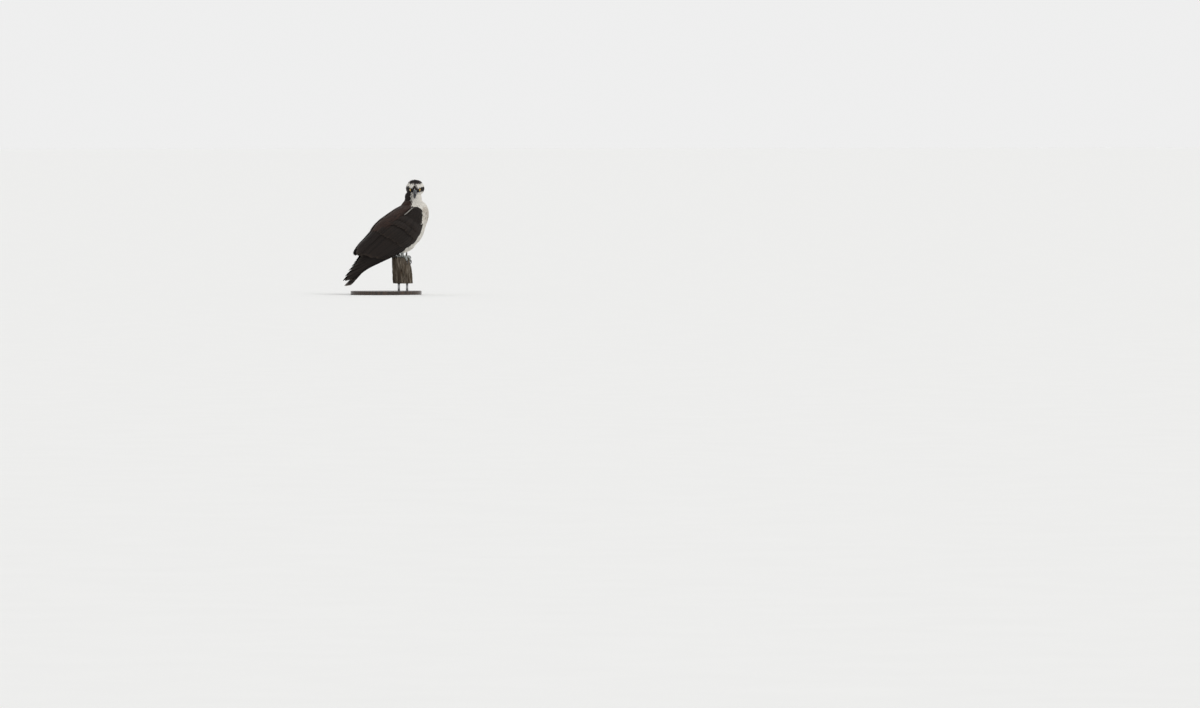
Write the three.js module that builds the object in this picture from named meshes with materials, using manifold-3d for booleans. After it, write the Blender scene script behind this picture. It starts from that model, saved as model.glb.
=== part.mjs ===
// A life-size osprey gripping the broken top of a dead limb, on a plain display stand.
// Millimetres, +Z up. The body heads along +X, and the head is turned round to the bird's right, towards -Y.
// The bird is laid out from the top of the perch between its feet, and the whole is then set over its base.

import * as THREE from "three";
import { mergeVertices } from "three/addons/utils/BufferGeometryUtils.js";
import Module from "manifold-3d";

const wasm = await Module();
wasm.setup();

// Pieces that touch keep this gap.
const GAP = 0.3;

// The stand: an oval base, two rods, and the perch with its top at the height of the feet.
const BASE = { length: 300, width: 200, thick: 16, edge: 2.5 };
const ROD = { radius: 5, apart: 36, lean: 0 };
const PERCH_LENGTH = 104;
const FEET_HEIGHT = 150;

// The body's own frame: s runs from tail to breast, d from belly to back, y to the bird's left.
const BODY_PITCH = 46;
const BODY_CENTRE = { x: -13, z: 120 };

// The trunk without its wings, at places along s: centre, up to the back, down to the belly, half width.
const TRUNK = [
  [-196, 4, 13, 12, 15],
  [-165, 6, 25, 24, 27],
  [-135, 6, 40, 38, 38],
  [-100, 2, 60, 54, 49],
  [-65, -5, 74, 67, 59],
  [-30, -11, 84, 78, 67],
  [5, -13, 80, 85, 71],
  [40, -12, 73, 84, 73],
  [75, -8, 64, 74, 71],
  [105, -6, 58, 66, 66],
  [130, -4, 50, 60, 58],
  [150, -2, 44, 46, 46],
];

// The folded wing's outer surface, in the same columns.
const WING = [
  [-215, 10, 66, 44, 45],
  [-160, 8, 73, 54, 55],
  [-130, 6, 74, 63, 62],
  [-95, 3, 79, 74, 71],
  [-60, -2, 87, 84, 80],
  [-25, -6, 88, 92, 86],
  [15, -6, 79, 92, 87],
  [55, -3, 67, 84, 84],
  [90, 0, 58, 72, 78],
  [120, 0, 48, 58, 66],
];

// The layer of the primaries, inside the secondaries and past them to the wing tip.
const HAND = [
  [-340, 13, 14, 10, 15],
  [-290, 12, 25, 18, 22],
  [-250, 11, 31, 22, 28],
  [-210, 10, 36, 30, 36],
  [-170, 7, 44, 43, 46],
  [-120, 2, 54, 61, 56],
  [-60, -4, 70, 80, 74],
  [0, -6, 76, 88, 82],
  [60, -4, 70, 84, 80],
];

// The rump and the root of the tail, narrowing to the flat closed tail.
const RUMP = [
  [-250, -1, 5, 8, 22],
  [-210, -1, 10, 12, 25],
  [-180, 3, 18, 18, 26],
  [-140, 6, 38, 38, 37],
];

const radians = THREE.MathUtils.degToRad;
const lerp = THREE.MathUtils.lerp;

// A smooth curve through pairs of [place, value], with the places in rising order.
function curveThrough(pairs) {
  const slope = (i) => {
    const [before, after] = [pairs[Math.max(i - 1, 0)], pairs[Math.min(i + 1, pairs.length - 1)]];
    return (after[1] - before[1]) / (after[0] - before[0]);
  };
  return (place) => {
    const at = THREE.MathUtils.clamp(place, pairs[0][0], pairs[pairs.length - 1][0]);
    const i = Math.max(1, pairs.findIndex((pair) => pair[0] >= at)) - 1;
    const span = pairs[i + 1][0] - pairs[i][0];
    const t = (at - pairs[i][0]) / span;
    return (
      pairs[i][1] * (1 + 2 * t) * (1 - t) ** 2 +
      slope(i) * span * t * (1 - t) ** 2 +
      pairs[i + 1][1] * (3 - 2 * t) * t * t +
      slope(i + 1) * span * (t - 1) * t * t
    );
  };
}

// A rounded form around the axis s, from rows of [s, centre, up, down, half width].
function envelope(rows) {
  const column = (k) => curveThrough(rows.map((row) => [row[0], row[k]]));
  return { centre: column(1), up: column(2), down: column(3), wide: column(4) };
}

const trunk = envelope(TRUNK);
const wingSurface = envelope(WING);
const handSurface = envelope(HAND);
const rumpSurface = envelope(RUMP);

// From the body's own frame to the bird's.
function inBody(s, d, y) {
  const [c, n] = [Math.cos(radians(BODY_PITCH)), Math.sin(radians(BODY_PITCH))];
  return new THREE.Vector3(BODY_CENTRE.x + s * c - d * n, y, BODY_CENTRE.z + s * n + d * c);
}

// A point on an envelope. The angle runs from 0 at the back round to 180 at the belly, on side 1 or -1.
function around(form, s, degrees, lift, side) {
  const angle = radians(degrees);
  const tall = Math.cos(angle) > 0 ? form.up(s) : form.down(s);
  const wide = form.wide(s);
  const out = new THREE.Vector2(Math.cos(angle) * wide, Math.sin(angle) * tall).normalize();
  const d = form.centre(s) + tall * Math.cos(angle) + lift * out.x;
  return inBody(s, d, side * (wide * Math.sin(angle) + lift * out.y));
}

// Millimetres round the envelope for each degree.
function perDegree(form, s, degrees) {
  const angle = radians(degrees);
  const tall = Math.cos(angle) > 0 ? form.up(s) : form.down(s);
  return radians(Math.hypot(tall * Math.sin(angle), form.wide(s) * Math.cos(angle)));
}

// A closed mesh as a solid that faces outwards.
function solid(geometry) {
  const bare = new THREE.BufferGeometry();
  bare.setAttribute("position", geometry.getAttribute("position"));
  bare.setIndex(geometry.index);
  const merged = mergeVertices(bare, 1e-4);
  const positions = merged.getAttribute("position");
  const triangles = new Uint32Array(merged.index.array);
  const [a, b, c] = [new THREE.Vector3(), new THREE.Vector3(), new THREE.Vector3()];
  let volume = 0;
  for (let i = 0; i < triangles.length; i += 3) {
    a.fromBufferAttribute(positions, triangles[i]);
    b.fromBufferAttribute(positions, triangles[i + 1]);
    c.fromBufferAttribute(positions, triangles[i + 2]);
    volume += a.dot(b.cross(c));
  }
  if (volume < 0) {
    for (let i = 0; i < triangles.length; i += 3) {
      [triangles[i + 1], triangles[i + 2]] = [triangles[i + 2], triangles[i + 1]];
    }
  }
  const mesh = new wasm.Mesh({ numProp: 3, vertProperties: positions.array, triVerts: triangles });
  return new wasm.Manifold(mesh);
}

// Pieces joined to one solid, of which only the largest closed surface is kept.
function largest(made) {
  return made.decompose().reduce((most, part) => (part.volume() > most.volume() ? part : most));
}

function joined(pieces) {
  return largest(wasm.Manifold.union(pieces));
}

// The same, with slivers along the seams tidied away.
const SLIVER = 0.2;

function fused(pieces) {
  return largest(wasm.Manifold.union(pieces).asOriginal().simplify(SLIVER));
}

// A form of rings: the rows of a sphere are set along a path by place(share of the path, turn).
function ringed(columns, rows, place) {
  const ball = new THREE.SphereGeometry(1, columns, rows);
  const [at, map] = [ball.getAttribute("position"), ball.getAttribute("uv")];
  for (let i = 0; i < at.count; i++) {
    const row = Math.round((1 - map.getY(i)) * rows);
    const pole = row === 0 || row === rows;
    const point = place(row / rows, pole ? 0 : map.getX(i) * 2 * Math.PI);
    at.setXYZ(i, point.x, point.y, point.z);
  }
  return solid(ball);
}

// How full a form is along its length: 0 at both ends, and 1 for most of the way if the power is high.
const fullness = (t, power) => Math.pow(1 - Math.pow(Math.abs(2 * t - 1), power), 1 / power);

// A bent round bar along a curve. size(t) gives its half height and half width, across gives its side.
function bar(curve, columns, rows, size, across = new THREE.Vector3(0, 1, 0)) {
  return ringed(columns, rows, (t, turn) => {
    const centre = curve.getPoint(t);
    const forward = curve.getTangent(t);
    const side = across.clone().addScaledVector(forward, -forward.dot(across)).normalize();
    const over = new THREE.Vector3().crossVectors(forward, side);
    const [tall, wide] = size(t);
    return centre.addScaledVector(over, tall * Math.cos(turn)).addScaledVector(side, wide * Math.sin(turn));
  });
}

// A closed plate on a grid, with both faces split into triangles alike.
// place(across from -1 to 1, row, face 1 or -1) gives each point.
function plate(columns, rows, place) {
  const points = [];
  const triangles = [];
  const stride = columns + 1;
  const half = stride * (rows + 1);
  for (const face of [1, -1]) {
    for (let row = 0; row <= rows; row++) {
      for (let column = 0; column <= columns; column++) {
        points.push(...place((2 * column) / columns - 1, row, face).toArray());
      }
    }
  }
  const quad = (a, b, c, d) => triangles.push(a, b, c, a, c, d);
  for (let row = 0; row < rows; row++) {
    for (let column = 0; column < columns; column++) {
      const a = row * stride + column;
      const [b, c, d] = [a + 1, a + stride + 1, a + stride];
      quad(a, b, c, d);
      triangles.push(half + a, half + c, half + b, half + a, half + d, half + c);
    }
  }
  const edge = [];
  for (let column = 0; column < columns; column++) edge.push(column);
  for (let row = 0; row < rows; row++) edge.push(row * stride + columns);
  for (let column = columns; column > 0; column--) edge.push(rows * stride + column);
  for (let row = rows; row > 0; row--) edge.push(row * stride);
  edge.forEach((a, i) => {
    const b = edge[(i + 1) % edge.length];
    quad(b, a, half + a, half + b);
  });
  const made = new THREE.BufferGeometry();
  made.setAttribute("position", new THREE.Float32BufferAttribute(points, 3));
  made.setIndex(triangles);
  return solid(made);
}

// A seeded draw between -1 and 1.
let drawn = 20251;
function jitter() {
  drawn = (Math.imul(drawn, 1664525) + 1013904223) >>> 0;
  return drawn / 2147483648 - 1;
}

// Outlines of vanes: share of the length and share of the width at each row.
const FLIGHT = [[0, 0.5], [0.4, 0.95], [0.82, 0.95], [0.96, 0.6], [1, 0.24]];
const COVERT = [[0, 0.6], [0.75, 1], [0.94, 0.64], [1, 0.28]];
const VANE_THICK = 0.8;

// A vane that lies on an envelope. root and tip are [s, angle], bend is how late it turns to the tip's angle,
// lift is its height above the envelope at the root and tip, and tilt raises its lower edge.
function vane(form, side, { root, tip, bend = 1, width, lift, tilt, outline }) {
  return plate(1, outline.length - 1, (across, row, face) => {
    const [t, share] = outline[row];
    const s = lerp(root[0], tip[0], t);
    const middle = lerp(root[1], tip[1], Math.pow(t, bend));
    const degrees = middle + (across * width * share) / 2 / perDegree(form, s, middle);
    const height = lerp(lift[0], lift[1], Math.min(1, t * 1.6)) + across * tilt * share;
    return around(form, s, degrees, height + (face * VANE_THICK) / 2, side);
  });
}

// A tier of like vanes, from the lowest to the one nearest the back. Each setting is [lowest, highest].
function tier(form, side, count, { rootS, rootAngle, tipS, tipAngle, width, lift, tilt, outline, ragged = 2 }) {
  return Array.from({ length: count }, (_, i) => {
    const t = count > 1 ? i / (count - 1) : 0;
    return vane(form, side, {
      root: [lerp(...rootS, t), lerp(...rootAngle, t)],
      tip: [lerp(...tipS, t) + ragged * jitter(), lerp(...tipAngle, t) + 0.4 * jitter()],
      width: lerp(...width, t) * (1 + 0.03 * jitter()),
      lift,
      tilt,
      outline,
    });
  });
}

// Trunk, neck and head are one form, parted further on by thin cuts.
function trunkForm(grow) {
  const [low, high] = [TRUNK[0][0], TRUNK[TRUNK.length - 1][0]];
  return ringed(24, 18, (t, turn) => {
    const s = (low + high) / 2 - ((high - low) / 2) * Math.cos(Math.PI * t);
    const full = fullness((s - low) / (high - low), 4);
    const tall = Math.cos(turn) > 0 ? trunk.up(s) : trunk.down(s);
    const [rise, reach] = [tall * full + grow, trunk.wide(s) * full + grow];
    const end = t === 0 ? -grow : t === 1 ? grow : 0;
    return inBody(s + end, trunk.centre(s) + (full ? rise * Math.cos(turn) : 0), full ? reach * Math.sin(turn) : 0);
  });
}

// The neck rises from between the shoulders and backs away from the bill:
// [height, x and y of its centre, half length, half width].
const NECK = [
  [172, 36, 0, 40, 44],
  [200, 38, 0, 49, 44],
  [218, 43, 1, 45, 40],
  [238, 50.5, 4, 38, 35],
  [258, 52, 11, 37, 28],
  [276, 54, 15, 27, 20],
];

function neckForm() {
  const at = (k) => curveThrough(NECK.map((row) => [row[0], row[k]]));
  const [middle, aside, long, wide] = [at(1), at(2), at(3), at(4)];
  const [low, high] = [NECK[0][0], NECK[NECK.length - 1][0]];
  return ringed(22, 9, (t, turn) => {
    const z = lerp(low, high, t);
    const full = fullness(t, 6);
    return new THREE.Vector3(
      middle(z) + long(z) * full * Math.cos(turn),
      aside(z) + wide(z) * full * Math.sin(turn),
      z,
    );
  });
}

// The head's own frame starts midway between the eyes: x towards the bill, y to its left, z up.
const EYES_AT = new THREE.Vector3(54, -8, 280);
const HEAD_TURN = -110;
const HEAD_NOD = 20;
const headMatrix = new THREE.Matrix4()
  .makeTranslation(EYES_AT)
  .multiply(new THREE.Matrix4().makeRotationZ(radians(HEAD_TURN)))
  .multiply(new THREE.Matrix4().makeRotationY(radians(HEAD_NOD)));
const inHead = (x, y, z) => new THREE.Vector3(x, y, z).applyMatrix4(headMatrix);
const headCurve = (...points) => new THREE.CatmullRomCurve3(points.map((point) => inHead(...point)));
const headSide = new THREE.Vector3(0, 1, 0).transformDirection(headMatrix);

// The feathered head from nape to bill: [x, centre, up, down, half width].
const HEAD = [
  [-54, -12, 20, 22, 28],
  [-44, -10, 30, 30, 36],
  [-32, -7, 37.5, 34, 40],
  [-20, -4, 38.5, 34, 38],
  [-8, -3, 34.5, 30.5, 31],
  [3, -3, 26, 25, 22.5],
  [11, -4, 18.5, 18, 16],
  [17, -5.5, 13, 12, 11.5],
  [21, -6, 9.5, 9, 9],
];

function headForm(grow) {
  const at = (k) => curveThrough(HEAD.map((row) => [row[0], row[k]]));
  const [centre, up, down, wide] = [at(1), at(2), at(3), at(4)];
  const [low, high] = [HEAD[0][0], HEAD[HEAD.length - 1][0]];
  return ringed(24, 16, (t, turn) => {
    const x = (low + high) / 2 - ((high - low) / 2) * Math.cos(Math.PI * t);
    const full = fullness((x - low) / (high - low), 5);
    const tall = Math.cos(turn) > 0 ? up(x) : down(x);
    const end = t === 0 ? -grow : t === 1 ? grow : 0;
    const rise = full ? (tall * full + grow) * Math.cos(turn) : 0;
    return inHead(x + end, full ? (wide(x) * full + grow) * Math.sin(turn) : 0, centre(x) + rise);
  });
}

// Eyes, lids and brows. The eye looks forwards and out to its side.
const EYE = { x: 2.5, y: 14.6, z: 0, radius: 8.6 };
const EYE_LOOKS = new THREE.Vector3(0.5, 0.86, 0.08).normalize();
const LID_THICK = 1;
const LID_OPENING = 6.1;

function ball(centre, radius, columns, rows) {
  return ringed(columns, rows, (t, turn) =>
    new THREE.Vector3().setFromSphericalCoords(radius, Math.PI * t, turn).add(centre),
  );
}

const eyeCentre = (side) => inHead(EYE.x, side * EYE.y, EYE.z);
const eyeball = (side, grow) => ball(eyeCentre(side), EYE.radius + grow, 12, 8);

// A round gap in the lids, with the eye's line of sight as its axis.
function lidOpening(side) {
  const sight = new THREE.Vector3(EYE_LOOKS.x, side * EYE_LOOKS.y, EYE_LOOKS.z);
  const far = sight.multiplyScalar(EYE.radius * 2);
  const line = new THREE.LineCurve3(
    eyeCentre(side),
    inHead(EYE.x + far.x, side * EYE.y + far.y, EYE.z + far.z),
  );
  const up = new THREE.Vector3(0, 0, 1).transformDirection(headMatrix);
  return bar(line, 12, 4, (t) => [LID_OPENING * fullness(t, 20), 0.88 * LID_OPENING * fullness(t, 20)], up);
}

function brow(side) {
  const ridge = headCurve([-7, side * 24.5, 8], [1, side * 21.5, 9.6], [9, side * 15.5, 6.5]);
  return bar(ridge, 8, 7, (t) => [2.4 * fullness(t, 2.4), 2.6 * fullness(t, 2.4)], headSide);
}

// The corner of the mouth runs back below the eye as a groove.
function gape(side) {
  const corner = headCurve([19, side * 9.5, -9.5], [11, side * 16.5, -11.5], [3, side * 23.5, -13.5]);
  return bar(corner, 6, 6, () => [0.9, 1.8], headSide);
}

// Loose feathers of the crown and nape, the short crest of the species.
function crestFeather(x, turn, length, width, raise) {
  const at = (k) => curveThrough(HEAD.map((row) => [row[0], row[k]]));
  const [centre, up, wide] = [at(1), at(2), at(4)];
  return plate(1, 3, (across, row, face) => {
    const t = [0, 0.5, 0.82, 1][row];
    const share = [0.7, 1, 0.7, 0.22][row];
    const angle = radians(turn) + (across * width * share) / 2 / up(x);
    const back = x - length * t;
    const lift = lerp(-2.5, raise, t) + (face * VANE_THICK) / 2 + 0.5 * across;
    const full = fullness((Math.max(back, -52) + 54) / 75, 5);
    return inHead(
      back,
      (wide(back) * full + lift) * Math.sin(angle),
      centre(back) + (up(back) * full + lift) * Math.cos(angle),
    );
  });
}

function crest() {
  const rows = [
    { x: -8, turns: [-20, 20], length: 23, width: 16, raise: 3.6 },
    { x: -20, turns: [-44, 0, 44], length: 23, width: 19, raise: 4 },
    { x: -33, turns: [-68, -23, 23, 68], length: 23, width: 21, raise: 4 },
  ];
  return rows.flatMap(({ x, turns, length, width, raise }) =>
    turns.map((turn) => crestFeather(x, turn, length + 2 * jitter(), width, raise + 0.8 * jitter())),
  );
}

// The bill: a deep hooked upper half over a short lower half. Sizes are half heights and half widths.
const upperBillSize = curveThrough([[0, 8.2], [0.35, 8.2], [0.6, 6.7], [0.8, 4.2], [1, 0.4]]);
const upperBillWide = curveThrough([[0, 8.4], [0.35, 7.4], [0.6, 5.6], [0.8, 3.4], [1, 0.4]]);

function upperBill(grow) {
  const line = headCurve([10, 0, -2], [22, 0, -2.2], [32, 0, -4.5], [39.5, 0, -10.5], [42.6, 0, -18], [42, 0, -25.5]);
  return bar(line, 12, 11, (t) => {
    const full = fullness(Math.min(t, 0.5), 8);
    return full ? [upperBillSize(t) * full + grow, upperBillWide(t) * full + grow] : [0, 0];
  }, headSide);
}

function nostril(side) {
  const slit = headCurve([20.5, side * 9.5, -4.6], [23.5, side * 6.4, 0.6]);
  return bar(slit, 6, 6, (t) => [1.2 * fullness(t, 2.5), 2.6 * fullness(t, 2.5)], headSide);
}

function lowerBill() {
  const line = headCurve([10, 0, -12.6], [20, 0, -13.4], [29, 0, -13.6], [35, 0, -12.8]);
  const tall = curveThrough([[0, 4.4], [0.5, 3.6], [1, 1.2]]);
  const wide = curveThrough([[0, 7.6], [0.5, 6.2], [1, 2]]);
  return bar(line, 12, 7, (t) => [tall(t) * fullness(t, 6), wide(t) * fullness(t, 6)], headSide);
}

// The fleshy part of the folded wing, from the wrist back to the elbow: edges as angles along s.
const CORE = { front: 114, rear: -112, thick: 20, fall: 6 };
const coreTop = curveThrough([[-112, 10], [-30, 10], [20, 15], [60, 27], [90, 42], [114, 60]]);
const coreLow = curveThrough([[-112, 150], [-50, 151], [-21, 143], [13, 138], [53, 129], [90, 122], [114, 99]]);

function wingCore(side) {
  const rows = 10;
  return plate(8, rows, (across, row, face) => {
    const t = row / rows;
    const s = lerp(CORE.front, CORE.rear, t);
    const degrees = lerp(coreTop(s), coreLow(s), (across + 1) / 2);
    const rim = Math.max(Math.abs(across) ** 5, Math.abs(2 * t - 1) ** 6);
    return around(wingSurface, s, degrees, face > 0 ? -CORE.fall * rim : -CORE.thick, side);
  });
}

// The ten primaries, innermost first: how far back the tip reaches, and its angle.
const PRIMARY_TIPS = [
  [-194, 27], [-204, 26], [-216, 26], [-231, 27], [-249, 29],
  [-271, 33], [-298, 42], [-317, 56], [-308, 74], [-276, 96],
];

function primaries(side) {
  const last = PRIMARY_TIPS.length - 1;
  return PRIMARY_TIPS.map((tip, i) =>
    vane(handSurface, side, {
      root: [lerp(-62, -4, i / last), lerp(104, 150, i / last)],
      tip,
      bend: 1.3 + (1.7 * i) / last,
      width: lerp(25, 17, i / last),
      lift: [-3, 0],
      tilt: 2.2,
      outline: FLIGHT,
    }),
  );
}

function wingFeathers(side) {
  return [
    ...primaries(side),
    // secondaries
    ...tier(wingSurface, side, 8, {
      rootS: [-34, -46], rootAngle: [128, 40], tipS: [-150, -206], tipAngle: [121, 42],
      width: [30, 31], lift: [-5, -1.5], tilt: 1.8, outline: FLIGHT,
    }),
    // tertials
    ...tier(wingSurface, side, 3, {
      rootS: [-30, -30], rootAngle: [34, 14], tipS: [-203, -188], tipAngle: [31, 13],
      width: [27, 24], lift: [-4, 1.5], tilt: 1.6, outline: FLIGHT,
    }),
    // greater coverts
    ...tier(wingSurface, side, 6, {
      rootS: [14, -6], rootAngle: [124, 36], tipS: [-62, -84], tipAngle: [124, 36],
      width: [38, 40], lift: [-3, 1.6], tilt: 1.5, outline: COVERT,
    }),
    // median coverts
    ...tier(wingSurface, side, 5, {
      rootS: [48, 28], rootAngle: [116, 38], tipS: [2, -26], tipAngle: [121, 36],
      width: [38, 40], lift: [-3, 2.6], tilt: 1.4, outline: COVERT,
    }),
    // primary coverts and alula, along the hand's lower edge
    ...tier(wingSurface, side, 2, {
      rootS: [58, 44], rootAngle: [126, 118], tipS: [-8, -34], tipAngle: [138, 131],
      width: [22, 24], lift: [-4, 0.6], tilt: 1.2, outline: COVERT,
    }),
    // scapulars
    ...tier(wingSurface, side, 3, {
      rootS: [56, 30], rootAngle: [44, 17], tipS: [-32, -62], tipAngle: [35, 14],
      width: [30, 28], lift: [-4, 1.9], tilt: 1.2, outline: COVERT,
    }),
  ];
}

// Thighs, bare shanks and feet. Side -1 is the bird's right.
const FOOT = { x: -6, y: 23, pad: 7 };
const THIGH = { top: [24, 40, 76], knee: [16, 39, 54], end: [-9, 26, 25], radii: [26, 24, 11.5] };

function thigh(side, grow) {
  const line = new THREE.CatmullRomCurve3(
    [THIGH.top, THIGH.knee, THIGH.end].map(([x, y, z]) => new THREE.Vector3(x, side * y, z)),
  );
  const size = curveThrough([[0, THIGH.radii[0]], [0.5, THIGH.radii[1]], [1, THIGH.radii[2]]]);
  return bar(line, 16, 10, (t) => {
    const full = fullness(t, 5);
    return full ? [size(t) * full + grow, 0.9 * size(t) * full + grow] : [0, 0];
  });
}

function shank(side, grow) {
  const line = new THREE.LineCurve3(
    new THREE.Vector3(-11, side * 26.5, 38),
    new THREE.Vector3(FOOT.x, side * FOOT.y, FOOT.pad),
  );
  return bar(line, 10, 5, (t) => {
    const full = fullness(t, 8);
    return full ? [lerp(6.6, 6, t) * full + grow, lerp(6.2, 5.4, t) * full + grow] : [0, 0];
  });
}

// Toes: heading from straight ahead, outwards positive, and length without the claw.
const TOES = {
  inner: { heading: -26, length: 34, claw: 25 },
  middle: { heading: 10, length: 42, claw: 24 },
  outer: { heading: 62, length: 35, claw: 22 },
  hind: { heading: 184, length: 24, claw: 26 },
};
const TOE = { radius: 5, tip: 3.9, bend: 10, height: 5.4 };
const CLAW = { radius: 3.1, lift: 34, turn: 112 };

// The perch's top is an oval around this centre.
const PERCH = { x: -6, long: 35, wide: 40, lean: 0.1 };

// How far it is from a foot to the perch's rim along a heading.
function rimDistance(foot, way) {
  const [px, py] = [(foot.x - PERCH.x) / PERCH.long, foot.y / PERCH.wide];
  const [wx, wy] = [way.x / PERCH.long, way.y / PERCH.wide];
  const [a, b, c] = [wx * wx + wy * wy, px * wx + py * wy, px * px + py * py - 1];
  return (-b + Math.sqrt(b * b - a * c)) / a;
}

// A toe lies on the perch and bends down over the rim. at(distance) gives its point and slope there.
function toeLine(side, { heading }) {
  const way = new THREE.Vector3(Math.cos(radians(heading)), side * Math.sin(radians(heading)), 0);
  const foot = new THREE.Vector3(FOOT.x, side * FOOT.y, 0);
  const flat = rimDistance(foot, way) - 5;
  return (distance) => {
    const slope = THREE.MathUtils.clamp((distance - flat) / TOE.bend, 0, radians(75));
    const rest = Math.max(0, distance - flat - slope * TOE.bend);
    const run = Math.min(distance, flat) + TOE.bend * Math.sin(slope) + rest * Math.cos(slope);
    const drop = TOE.bend * (1 - Math.cos(slope)) + rest * Math.sin(slope);
    const point = foot.clone().addScaledVector(way, run).setZ(TOE.height - drop);
    return { point, slope: -slope, way };
  };
}

function toe(side, kind, grow) {
  const at = toeLine(side, kind);
  const points = [0, 0.25, 0.5, 0.75, 1].map((t) => at(t * kind.length).point);
  const across = new THREE.Vector3(0, 0, 1).cross(at(0).way);
  return bar(new THREE.CatmullRomCurve3(points), 7, 7, (t) => {
    const knuckle = 1 + 0.09 * Math.cos(t * 6 * Math.PI);
    const radius = lerp(TOE.radius, TOE.tip, t) * knuckle * fullness(t, 5);
    return radius ? [radius + grow, radius + grow] : [0, 0];
  }, across);
}

function claw(side, kind, grow) {
  const { point, slope, way } = toeLine(side, kind)(kind.length - 2.5);
  const radius = kind.claw / radians(CLAW.turn);
  const start = slope + radians(CLAW.lift);
  const points = [0, 0.25, 0.5, 0.75, 1].map((t) => {
    const angle = start - radians(CLAW.turn) * t;
    const run = radius * (Math.sin(start) - Math.sin(angle));
    const rise = radius * (Math.cos(angle) - Math.cos(start));
    return point.clone().addScaledVector(way, run).add(new THREE.Vector3(0, 0, rise));
  });
  const across = new THREE.Vector3(0, 0, 1).cross(way);
  return bar(new THREE.CatmullRomCurve3(points), 6, 7, (t) => {
    const size = CLAW.radius * Math.pow(1 - t, 0.8) + 0.3;
    const full = fullness(Math.min(t, 0.5), 6) * (t === 1 ? 0 : 1);
    return full ? [size * full * 1.1 + grow, size * full * 0.9 + grow] : [0, 0];
  }, across);
}

function foot(side, grow) {
  const pad = ball(new THREE.Vector3(FOOT.x, side * FOOT.y, FOOT.pad), 8 + grow, 10, 6);
  return fused([pad, ...Object.values(TOES).map((kind) => toe(side, kind, grow))]);
}

// The closed tail: a flat stack of vanes, six to a side, the middle pair on top.
const TAIL = { root: -150, tip: -330, step: 1.15, arch: 0.0025, shorter: 2.4, side: 6 };
const tailLine = curveThrough([[-340, 6], [-260, 3], [-200, 0], [-150, 3]]);
const RECTRIX = [[0, 0.55], [0.4, 0.9], [0.8, 1], [0.96, 0.9], [1, 0.5]];

const tailSpread = (t) => lerp(0.45, 1, Math.min(1, t * 1.1));

function rectrix(side, k, inner, outer, layer) {
  return plate(1, RECTRIX.length - 1, (across, row, face) => {
    const [t, share] = RECTRIX[row];
    const s = lerp(TAIL.root, TAIL.tip + TAIL.shorter * k, t);
    const reach = tailSpread(t);
    const y = reach * lerp(inner, outer, (1 + across * share) / 2);
    const d = tailLine(s) - TAIL.arch * y * y - layer * TAIL.step * Math.min(1, 0.35 + t);
    return inBody(s, d + (face * VANE_THICK) / 2, side * y);
  });
}

// The wings stay clear of the tail by this slab round it.
function tailClearance() {
  const rows = 8;
  return plate(1, rows, (across, row, face) => {
    const s = lerp(TAIL.root, TAIL.tip - 4, row / rows);
    const depth = face > 0 ? 2.4 : -8 - TAIL.arch * 900;
    return inBody(s, tailLine(s) + depth, across * (tailSpread(row / rows) * 33 + 1));
  });
}

function tailFeathers() {
  const pairs = [1, -1].flatMap((side) =>
    Array.from({ length: TAIL.side }, (_, k) => {
      const onTop = side === 1 && k === 0;
      return rectrix(side, k, onTop ? -8 : 0.6 + 3.6 * k, 13.5 + 3.9 * k, onTop ? -1 : k);
    }),
  );
  const coverts = [1, -1].flatMap((side) => [
    ...tier(rumpSurface, side, 3, {
      rootS: [-147, -147], rootAngle: [60, 15], tipS: [-196, -212], tipAngle: [52, 15],
      width: [18, 20], lift: [-3, 1.4], tilt: 1, outline: COVERT,
    }),
    ...tier(rumpSurface, side, 3, {
      rootS: [-147, -147], rootAngle: [165, 115], tipS: [-238, -214], tipAngle: [166, 122],
      width: [20, 18], lift: [-3, 0.6], tilt: -1, outline: COVERT,
    }),
  ]);
  return [...pairs, ...coverts];
}

// The perch: a weathered, furrowed limb, sawn off square below and broken off in splinters above.
const SPLINTERS = [
  [21, 0, 34, 6.2], [24, 17, 12, 5.5], [-36, -14, 9, 6], [-32, 22, 13, 6], [6, 36, 10, 6],
  [-24, -33, 8, 6], [-4, 39, 12, 5], [-40, 3, 7, 6], [12, -36, 6, 5.5],
];

function perchForm() {
  const rows = 10;
  const limb = ringed(32, rows, (t, turn) => {
    const z = lerp(-PERCH_LENGTH - 20, 1, t);
    const full = fullness(t, 14);
    const furrow =
      0.045 * Math.sin(7 * turn + z / 26) + 0.03 * Math.sin(13 * turn - z / 17) + 0.02 * Math.sin(23 * turn + z / 11);
    const swell = 1 + 0.04 * Math.sin(z / 15 + 2 * turn) + 0.0012 * -z;
    const notch = 2.2 * Math.sin(3 * turn + 1) + 1.5 * Math.sin(8 * turn);
    const lean = -PERCH.lean * z;
    return new THREE.Vector3(
      PERCH.x + lean + PERCH.long * full * swell * (1 + furrow) * Math.cos(turn),
      PERCH.wide * full * swell * (1 + furrow) * Math.sin(turn),
      z + (t > 0.85 && t < 1 ? notch : 0) - (t === 1 ? 1.5 : 0),
    );
  });
  const splinters = SPLINTERS.map(([x, y, height, radius]) => {
    const line = new THREE.LineCurve3(
      new THREE.Vector3(x * 0.93, y * 0.93, -16),
      new THREE.Vector3(x + 0.05 * height, y, height),
    );
    return bar(line, 5, 4, (t) => [radius * fullness(Math.min(t, 0.5), 6) * (1.02 - t ** 1.6), radius * (1.02 - t)]);
  });
  return fused([limb, ...splinters]).trimByPlane([0, 0, 1], -PERCH_LENGTH);
}

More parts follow.
